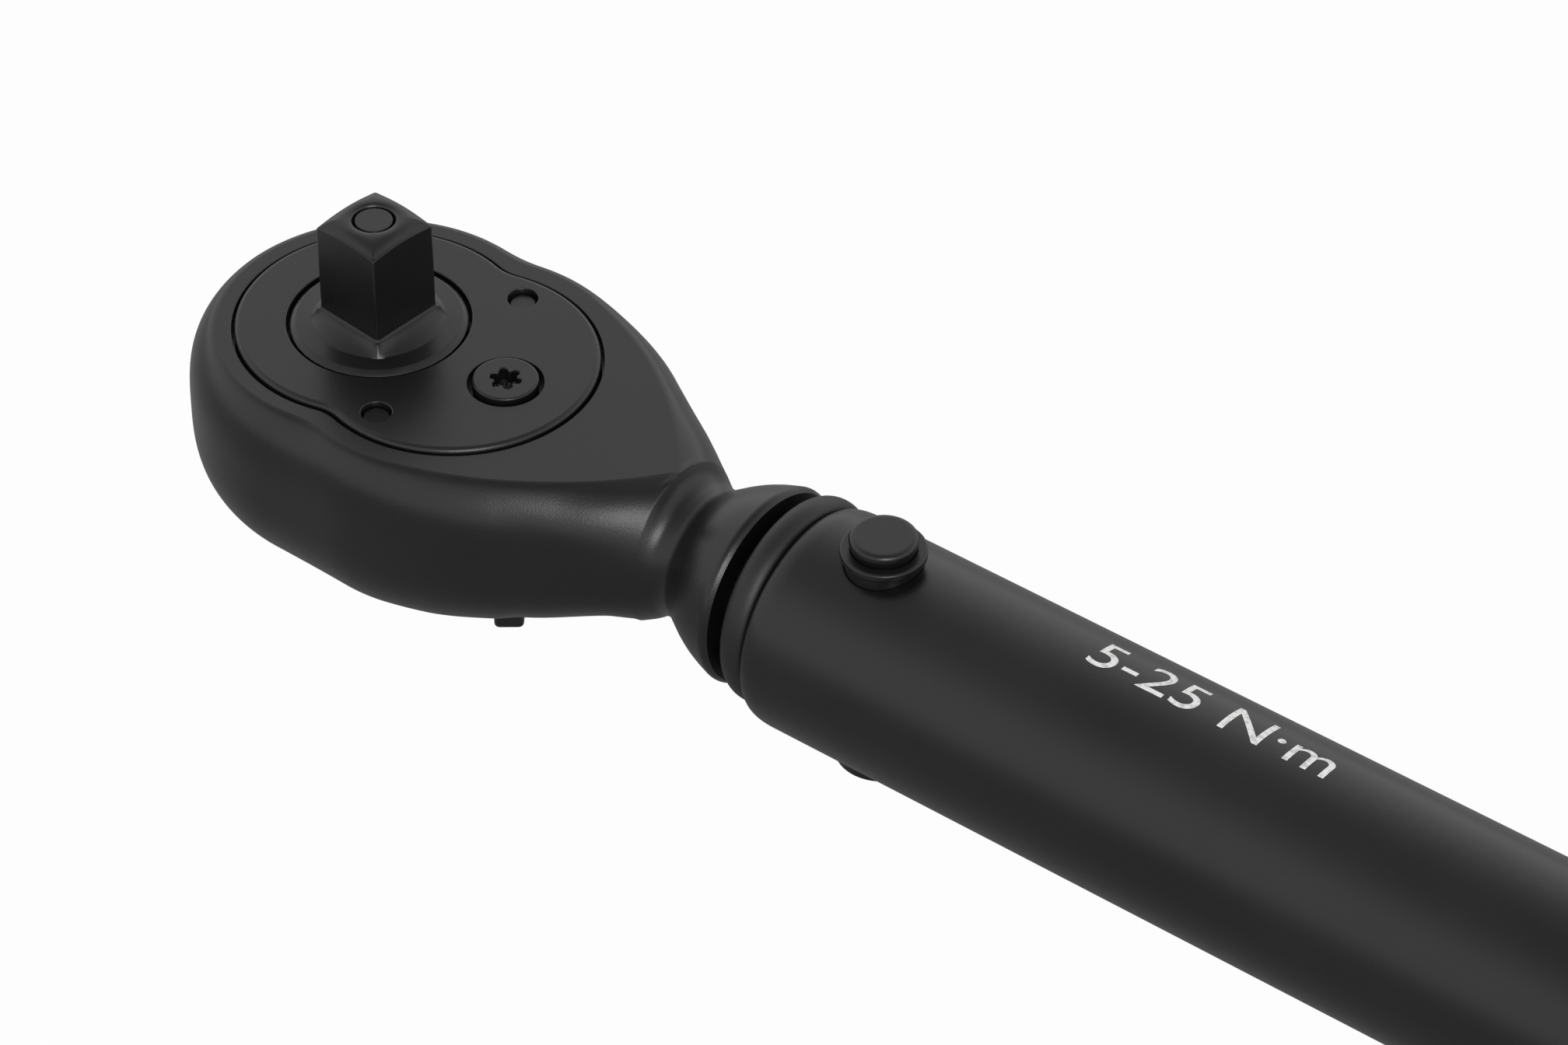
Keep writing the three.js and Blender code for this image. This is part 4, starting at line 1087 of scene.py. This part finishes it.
def moulded(name, slot, grey, roughness, grain_mm, grain_depth):
    """Moulded plastic: spark-eroded grain, a faint bloom and polish where it is handled."""
    f = Finish(name, slot, (grey, grey, grey * 1.03), roughness)
    grain = f.noise(1 / (grain_mm * MM), 3.0)
    bloom = f.limits(f.noise(60.0, 3.0), 0.35, 0.7)
    worn = f.limits(f.noise(240.0, 4.0), 0.55, 0.8)
    tone = f.blend(bloom, (grey * 0.85,) * 3, (grey * 1.2, grey * 1.2, grey * 1.24))
    tone = f.blend(worn * 0.25, tone, (grey * 1.9,) * 3)
    f.feed(Base_Color=tone, Roughness=roughness + (grain - 0.5) * 0.14 - worn * 0.08,
           Normal=f.bump(grain, grain_depth))
    return f


def six_sided(bm):
    """Raises six corners on a shape turned round the tube, to a soft hexagon."""
    for v in bm.verts:
        if math.hypot(v.co.y, v.co.z) > round_core:
            corner = 1 + 0.02 * (1 - math.cos(6 * math.atan2(v.co.y, v.co.z)))
            v.co.y, v.co.z = v.co.y * corner, v.co.z * corner
    return bm


def rounded(x0, x1, half, corner):
    """A rectangle along the tube with rounded corners."""
    places = ((x1, half, 0), (x0, half, 90), (x0, -half, 180), (x1, -half, 270))
    points = []
    for x, y, turn in places:
        centre = (x - math.copysign(corner, x - (x0 + x1) / 2), y - math.copysign(corner, y))
        points += arc(centre, corner, math.radians(turn), math.radians(turn + 90), 8)
    return points


grip_line = eased([
    (grip_bore, grip_front + 0.4, 0), (9.3, grip_front, 0.15), (9.9, grip_front, 0.5),
    (11.0, grip_front + 1.6, 1.0), (12.0, grip_front + 5, 2.0), (12.6, grip_front + 8.2, 0.3),
    (12.15, grip_front + 8.5, 0.15), (12.15, grip_front + 9.3, 0.15),
    (12.65, grip_front + 9.6, 0.3), (13.0, grip_front + 25, 8), (12.85, sleeve_front - 4, 3),
    (12.7, sleeve_front - fit, 0.4), (sleeve_core, sleeve_front - fit, 0.1),
    (sleeve_core, sleeve_rear + fit, 0.1), (12.9, sleeve_rear + fit, 0.4),
    (12.85, grip_rear - 1.6, 1.0), (11.9, grip_rear, 0.4), (9.3, grip_rear, 0.15),
    (grip_bore, grip_rear - 0.4, 0),
], 8)
grip = cut(
    six_sided(along_x(turned(grip_line, 144))),
    slab(rounded(lens_front - fit, lens_rear + fit, lens_half + fit, 1.2), 0, 16),
    slab(rounded(slider_front - 0.2, grip_rear + 3, slider_half + 0.15, 0.8), 10.25, 16),
    rod(grip_pin_hole, -16, 0, sleeve_front + 10, steps=32),
)
black_plastic = moulded("black nylon", "black_plastic", 0.0075, 0.50, 0.22, 0.02)
piece("grip_moulding", grip, black_plastic, "tube_body", "grip", crisp=30)

# ---- Sleeve on the grip ----
# A band of soft elastomer moulded into the grip's recess, with four round ribs for the
# fingers.

grip_flat = 12.8
rib_pitch, rib_height = 6.0, 0.8
rib_start = (sleeve_front + sleeve_rear) / 2 - 2 * rib_pitch
sleeve_line = [(sleeve_core + fit, sleeve_front), (grip_flat - 0.3, sleeve_front),
               (grip_flat, sleeve_front + 0.3), (grip_flat, rib_start)]
for rib in range(4):
    for k in range(1, 17):
        rise = rib_height * math.sin(math.pi * k / 16) ** 0.7
        sleeve_line.append((grip_flat + rise, rib_start + rib_pitch * (rib + k / 16)))
sleeve_line += [(grip_flat, sleeve_rear - 0.3), (grip_flat - 0.3, sleeve_rear),
                (sleeve_core + fit, sleeve_rear)]
sleeve = six_sided(along_x(turned(sleeve_line, 144)))
soft_plastic = moulded("soft elastomer", "soft_plastic", 0.012, 0.68, 0.35, 0.03)
piece("grip_band", sleeve, soft_plastic, "tube_body", "grip_sleeve", crisp=60)

# ---- Window over the scale ----
# A clear cover snapped into the grip, crowned like it, with a red line across its underside
# that the reading is taken at.


def softened(bm, offset, above):
    """Rounds the sharp edges of a shape that lie above a height."""
    edges = [e for e in bm.edges if e.calc_face_angle(0) > math.radians(50)
             and all(v.co.z > above for v in e.verts)]
    return bevel(bm, edges, offset, 4)


window = cut(
    slab(rounded(lens_front, lens_rear, lens_half, 1.1), 9.35, 16),
    along_x(turned([(12.5, lens_front - 5), (12.5, lens_rear + 5), (20, lens_rear + 5),
                    (20, lens_front - 5)], 240)),
)
clear_plastic = Finish("clear cover", "clear_plastic", (0.8, 0.84, 0.86), 0.06,
                       Alpha=0.22, IOR=1.49)
clear_plastic.feed(Roughness=0.05 + clear_plastic.noise(420.0, 4.0) * 0.06)
piece("window", softened(window, 0.35, 10), clear_plastic, "tube_body", "scale_lens", crisp=30)

index_at = (lens_front + lens_rear) / 2
red_ink = mottled("red ink", "clear_plastic", (0.55, 0.02, 0.015), 0.5,
                  (3000.0, 3.0, 0.35, 0.6), (0.42, 0.015, 0.012), (0.6, 0.025, 0.02))
index_line = box_shape(index_at - 0.12, index_at + 0.12, 3.2, 9.29, 9.34)
piece("index_line", index_line, red_ink, "tube_body")

# ---- Scale ----
# A white strip in the spring's nut, printed with a stroke for each newton metre and a number
# at each fifth, which slides under the window as the knob is turned.

long_mark, short_mark = 1.5, 0.9
mark_edge, mark_rise = 2.2, 0.02
strip_front, strip_rear = span("scale_slide")
strip_foot, strip_top = (corner.z for corner in extent("scale_slide"))
strip = slab(rounded(strip_front, strip_rear, 2.55, 0.3), strip_foot, strip_top)
scale_white = mottled("printed strip", "scale_white", (0.8, 0.79, 0.74), 0.45,
                      (700.0, 4.0, 0.3, 0.7), (0.74, 0.73, 0.68), (0.82, 0.81, 0.77))
piece("scale_strip", strip, scale_white, "nut", "scale_slide")

marks = bmesh.new()
for torque in range(5, 26):
    at_x = index_at + torque - 15
    reach = long_mark if torque % 5 == 0 else short_mark
    stroke = box_shape(at_x - 0.08, at_x + 0.08, reach / 2, strip_top, strip_top + mark_rise)
    join(marks, move(stroke, y=reach / 2 - mark_edge))
    if torque % 5 == 0:
        number = lettered(str(torque), 1.5)
        middle = max(v.co.x for v in number.verts) / 2
        join(marks, move(number, at_x - middle, 0.1, strip_top + mark_rise))
black_ink = mottled("black ink", "black_plastic", (0.012, 0.012, 0.012), 0.5,
                    (3000.0, 3.0, 0.35, 0.6), (0.02, 0.02, 0.02), (0.01, 0.01, 0.01))
piece("scale_marks", marks, black_ink, "nut")

# ---- Lock slider ----
# A grey catch in the grip's slot. Pushed back with the thumb on its three ridges, its tongue
# enters a notch of the knob.

tongue_half = 0.95
slider_floor = 10.4
slider_body = slab(rounded(slider_front, slider_front + 8.8, slider_half, 0.7), slider_floor, 12.3)
slider = softened(slider_body, 0.3, 12)
for ridge in range(3):
    x = slider_front + 1.1 + 2 * ridge
    bump = slab(rounded(x, x + 1, slider_half - 0.3, 0.4), 11.8, 13.2)
    join(slider, softened(bump, 0.35, 13))
tongue = box_shape(slider_front + 7.8, slider_rear, tongue_half, slider_floor, 11.8)
join(slider, softened(tongue, 0.15, slider_floor - 1))
grey_plastic = moulded("grey nylon", "grey_plastic", 0.085, 0.48, 0.2, 0.02)
piece("slider", slider, grey_plastic, "lock", "lock_slider", crisp=30)

# ---- Knob ----
# A nylon knob screwed to the end of the adjusting screw, with twelve flutes for the hand and
# twelve notches in front, one of which takes the slider's tongue.

knob_front, knob_rear = span("adjusting_knob")
knob_bore = 3.1
knob_radius = 13.2
cap_bore, cap_depth = 4.5, 8
flutes, flute_depth = 12, 0.9
flute_steps = 28
flute_front, flute_rear = knob_front + 5.6, knob_rear - 2.6
knob_line = eased([
    (knob_bore, knob_front + 0.3, 0), (3.4, knob_front, 0.1), (12.6, knob_front, 0.5),
    (13.15, knob_front + 1.3, 0.6), (knob_radius, knob_front + 4.2, 0.3),
    (12.8, knob_front + 4.5, 0.15), (12.8, knob_front + 5.0, 0.15), (13.1, flute_front - 0.2, 0),
], 6)
knob_line += [(13.1, flute_front + (flute_rear - flute_front) * k / flute_steps)
              for k in range(flute_steps + 1)]
knob_line += eased([
    (13.1, flute_rear + 0.2, 0), (12.0, knob_rear - 0.8, 0.9), (10.4, knob_rear, 0.5),
    (cap_bore + 0.4, knob_rear, 0.2), (cap_bore, knob_rear - 0.4, 0.1),
    (cap_bore, knob_rear - cap_depth, 0), (knob_bore, knob_rear - cap_depth, 0),
], 8)
knob = along_x(turned(knob_line, 288))
for v in knob.verts:
    r = math.hypot(v.co.y, v.co.z)
    if r > 10 and v.co.x > flute_front - 0.4:
        ends = smooth_step(flute_front - 0.2, flute_front + 1.6, v.co.x)
        ends *= 1 - smooth_step(flute_rear - 1.4, knob_rear - 0.3, v.co.x)
        hollow = 0.5 + 0.5 * math.cos(flutes * (math.atan2(v.co.y, v.co.z) + math.pi / flutes))
        depth = flute_depth * ends * hollow ** 1.6
        v.co.y, v.co.z = v.co.y * (1 - depth / r), v.co.z * (1 - depth / r)
notches = []
for k in range(flutes):
    notch = box_shape(knob_front - 1, knob_front + 2.9, tongue_half + 0.15, 10.1, 12.1)
    notches.append(rotate(notch, 2 * math.pi * k / flutes, "X"))
piece("knob_moulding", cut(knob, *notches), black_plastic, "knob", "adjusting_knob", crisp=30)

# ---- Knob screw and end cap ----
# A socket screw in the knob's rear holds it to the adjusting screw, under a grey cap that
# snaps into the recess.

screw_front, screw_rear = span("knob_screw")
socket_radius = 3.8
key_radius, key_depth = 1.6, 1.5
socket_head = turned(eased([
    (0, screw_front, 0), (socket_radius, screw_front, 0.1), (socket_radius, screw_rear, 0.4),
    (0, screw_rear, 0),
]), 96)
hexagon = slab(circle(key_radius, 6), screw_rear - key_depth, screw_rear + 1)
spring_steel = Finish("drawn steel", "spring_steel", (0.30, 0.31, 0.32), 0.34, Metallic=1.0)
drawn = spring_steel.noise(700.0, 4.0)
spring_steel.feed(Roughness=0.26 + drawn * 0.2, Normal=spring_steel.bump(drawn, 0.004))
piece("socket_screw", along_x(cut(socket_head, hexagon)), spring_steel, "knob", "knob_screw")

cap_front, cap_rear = span("end_cap")
cap_radius = 4.3
cap = along_x(turned(eased([
    (0, cap_front, 0), (cap_radius, cap_front, 0.1), (cap_radius, cap_rear, 0.35),
    (cap_radius - 0.9, cap_rear, 0.25),
    (3.0, cap_rear - 0.35, 0.3), (0, cap_rear - 0.45, 0),
], 8), 128))
piece("cap", cap, grey_plastic, "knob", "end_cap")

# ---- Rear bush ----
# The steel bearing of the adjusting screw, turned from bar and pressed into the end of the
# tube up to its flange.

bush_front, bush_rear = span("rear_bush")
bearing_bore, bearing_radius = 3.15, 7.5
bearing = along_x(turned(eased([
    (bearing_bore, bush_front, 0), (bearing_radius, bush_front, 0.3),
    (bearing_radius, tube_end + 0.1, 0.05), (tube_radius, tube_end + 0.1, 0.1),
    (tube_radius, bush_rear, 0.3), (bearing_bore + 0.35, bush_rear, 0.2),
    (bearing_bore, bush_rear - 0.4, 0),
]), 128))
piece("bearing", bearing, spring_steel, "tube_body", "rear_bush")

# ---- Snap ring ----
# A ring stamped from spring steel, open at one side. It lies in a groove of the gear's rear
# journal and keeps the gear in the head.

ring_foot, ring_top = (corner.z for corner in extent("retaining_ring"))
ring_inner, ring_outer, ring_gap = 5.2, 6.9, 2
snap_ring = cut(
    turned(eased([
        (ring_inner, ring_foot + 0.1, 0), (ring_inner + 0.1, ring_foot, 0.05),
        (ring_outer, ring_foot, 0.12), (ring_outer, ring_top, 0.12),
        (ring_inner, ring_top, 0.05), (ring_inner, ring_foot + 0.2, 0),
    ]), 96),
    box_shape(0, 8, ring_gap / 2, ring_foot - 1, ring_top + 1),
)
piece("snap_ring", rotate(snap_ring, square_turn, "Z"), spring_steel, "drive", "retaining_ring")

# ---- Release spring and main spring ----
# Coils of round wire with closed ends. The first lies between the gear and the button. The
# second lies between the plunger and the nut, in two halves that meet where it stays still,
# as both its ends move.


def coil(radius, wire, turns, length, foot, stretches=(0, 1, 2, 3)):
    """A spring along Z: a closed end, two halves of its body and a closed end, or some of them."""
    closed, half = (0.5, 0.275 * wire), (turns / 2, length / 2 - 0.8 * wire)
    whole = [closed, half, half, closed]
    skipped = whole[:stretches[0]]
    start_height = foot + 0.525 * wire + sum(rise for _, rise in skipped)
    start_angle = 2 * math.pi * sum(wound for wound, _ in skipped) - math.pi
    bm = bmesh.new()
    bmesh.ops.create_circle(bm, segments=12, radius=wire / 2, cap_ends=True)
    rotate(move(rotate(bm, math.pi / 2, "X"), radius, 0, start_height), start_angle, "Z")
    end = bm.faces[:]
    for stretch in stretches:
        wound, rise = whole[stretch]
        steps = round(32 * wound)
        spun = bmesh.ops.spin(bm, geom=end, cent=(0, 0, 0), axis=(0, 0, 1), steps=steps,
                              angle=2 * math.pi * wound, dvec=(0, 0, rise / steps))
        end = spun["geom_last"]
    return tidy(bm)


def sprung(name, bm, low_body, high_body, low, high, node):
    """A coil set where it is drawn, with its place baked into its mesh. The two bodies it is given
    are not used.
    """
    made = piece(name, bm, spring_steel, None, node)
    origin + low * MM
    origin + high * MM
    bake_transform(made)


release_wire, main_wire = 0.5, 2.0
low_end, high_end = extent("release_spring")
release_coil = coil((high_end.x - low_end.x - release_wire) / 2, release_wire, 3,
                    high_end.z - low_end.z, low_end.z)
sprung("release_coil", release_coil, "release", "drive", Vector((0, 0, low_end.z)),
       Vector((0, 0, high_end.z)), "release_spring")

front_end, rear_end = extent("main_spring")
main_places = [Vector((x, 0, 0)) for x in (front_end.x, (front_end.x + rear_end.x) / 2, rear_end.x)]
for name, low_body, high_body, half in (
    ("main_coil_front", "plunger_body", "tube_body", 0),
    ("main_coil_rear", "tube_body", "nut", 1),
):
    half_coil = coil((rear_end.z - front_end.z - main_wire) / 2, main_wire, 8,
                     rear_end.x - front_end.x, front_end.x, (2 * half, 2 * half + 1))
    sprung(name, along_x(half_coil), low_body, high_body, *main_places[half:half + 2],
           "main_spring")

# ---- Pieces inside the head and the tube ----
# The pawl and its spring, the roller, plunger, nut, screw and washers are shut in, so their
# shapes stay as made, and each gets the finish of its own steel or brass.

brass = Finish("turned brass", "brass", (0.55, 0.38, 0.15), 0.3, Metallic=1.0)
brass.feed(Roughness=0.24 + brass.noise(800.0, 3.0) * 0.16)
inside = {
    blacked_steel: ["pawl"],
    bright_steel: ["click_roller"],
    brass: ["spring_nut", "thrust_washer"],
    spring_steel: ["pawl_spring", "plunger", "spring_washer", "adjusting_screw", "grip_pin"],
}
for finish, nodes in inside.items():
    for node in nodes:
        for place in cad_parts[node].material_slots:
            place.material = finish.material

# ---- Floor and light ----
# A pale floor under the wrench, and a white tent round it that is brightest near the
# horizon, with one soft lamp in front and to the right.

floor_seen = 0.975
floor_mirrored = 0.05

floor_bm = bmesh.new()
bmesh.ops.create_grid(floor_bm, x_segments=1, y_segments=1, size=4)
floor = as_object("floor", floor_bm)
pale = Finish("pale floor", None, (0.35, 0.35, 0.35), 0.9)
white = pale.node("ShaderNodeEmission", {}, {"Color": (1, 1, 1, 1), "Strength": 1.0})
seen = pale.node("ShaderNodeLightPath", {}, {}, "Is Camera Ray") * floor_seen
mirrored = pale.node("ShaderNodeLightPath", {}, {}, "Is Glossy Ray") * floor_mirrored
refracted = pale.node("ShaderNodeLightPath", {}, {}, "Is Transmission Ray")
shown = seen.maths("MAXIMUM", seen.maths("MAXIMUM", seen, mirrored), refracted)
shader = Signal(pale, pale.shader.outputs[0])
mixed = pale.node("ShaderNodeMixShader", {}, {0: shown, 1: shader, 2: white})
pale.links.new(mixed.socket, pale.nodes["Material Output"].inputs["Surface"])
floor.data.materials.append(pale.material)

scene = bpy.context.scene
scene.world = bpy.data.worlds.new("tent")
tent = Tree(scene.world)
heading = tent.node("ShaderNodeTexCoord", {}, {}, "Generated")
upward = tent.node("ShaderNodeSeparateXYZ", {}, {0: heading}, "Z")
background = tent.nodes["Background"]
background.inputs["Color"].default_value = (1, 1, 1, 1)
tent.links.new(tent.limits(upward, 0.55, 1.0, 1.0, 0.35).socket, background.inputs["Strength"])

lamp_place = Vector((0.75, -0.80, 0.75))
lamp_aim = Vector((-0.1, 0, 0))
key = bpy.data.lights.new("key", "AREA")
key.shape, key.size, key.energy = "SQUARE", 0.6, 7.0
lamp = bpy.data.objects.new("key", key)
bpy.context.collection.objects.link(lamp)
tilt = (lamp_aim - lamp_place).to_track_quat("-Z", "Y").to_matrix().to_4x4()
lamp.matrix_world = Matrix.Translation(lamp_place) @ tilt

scene.view_settings.view_transform = "Standard"
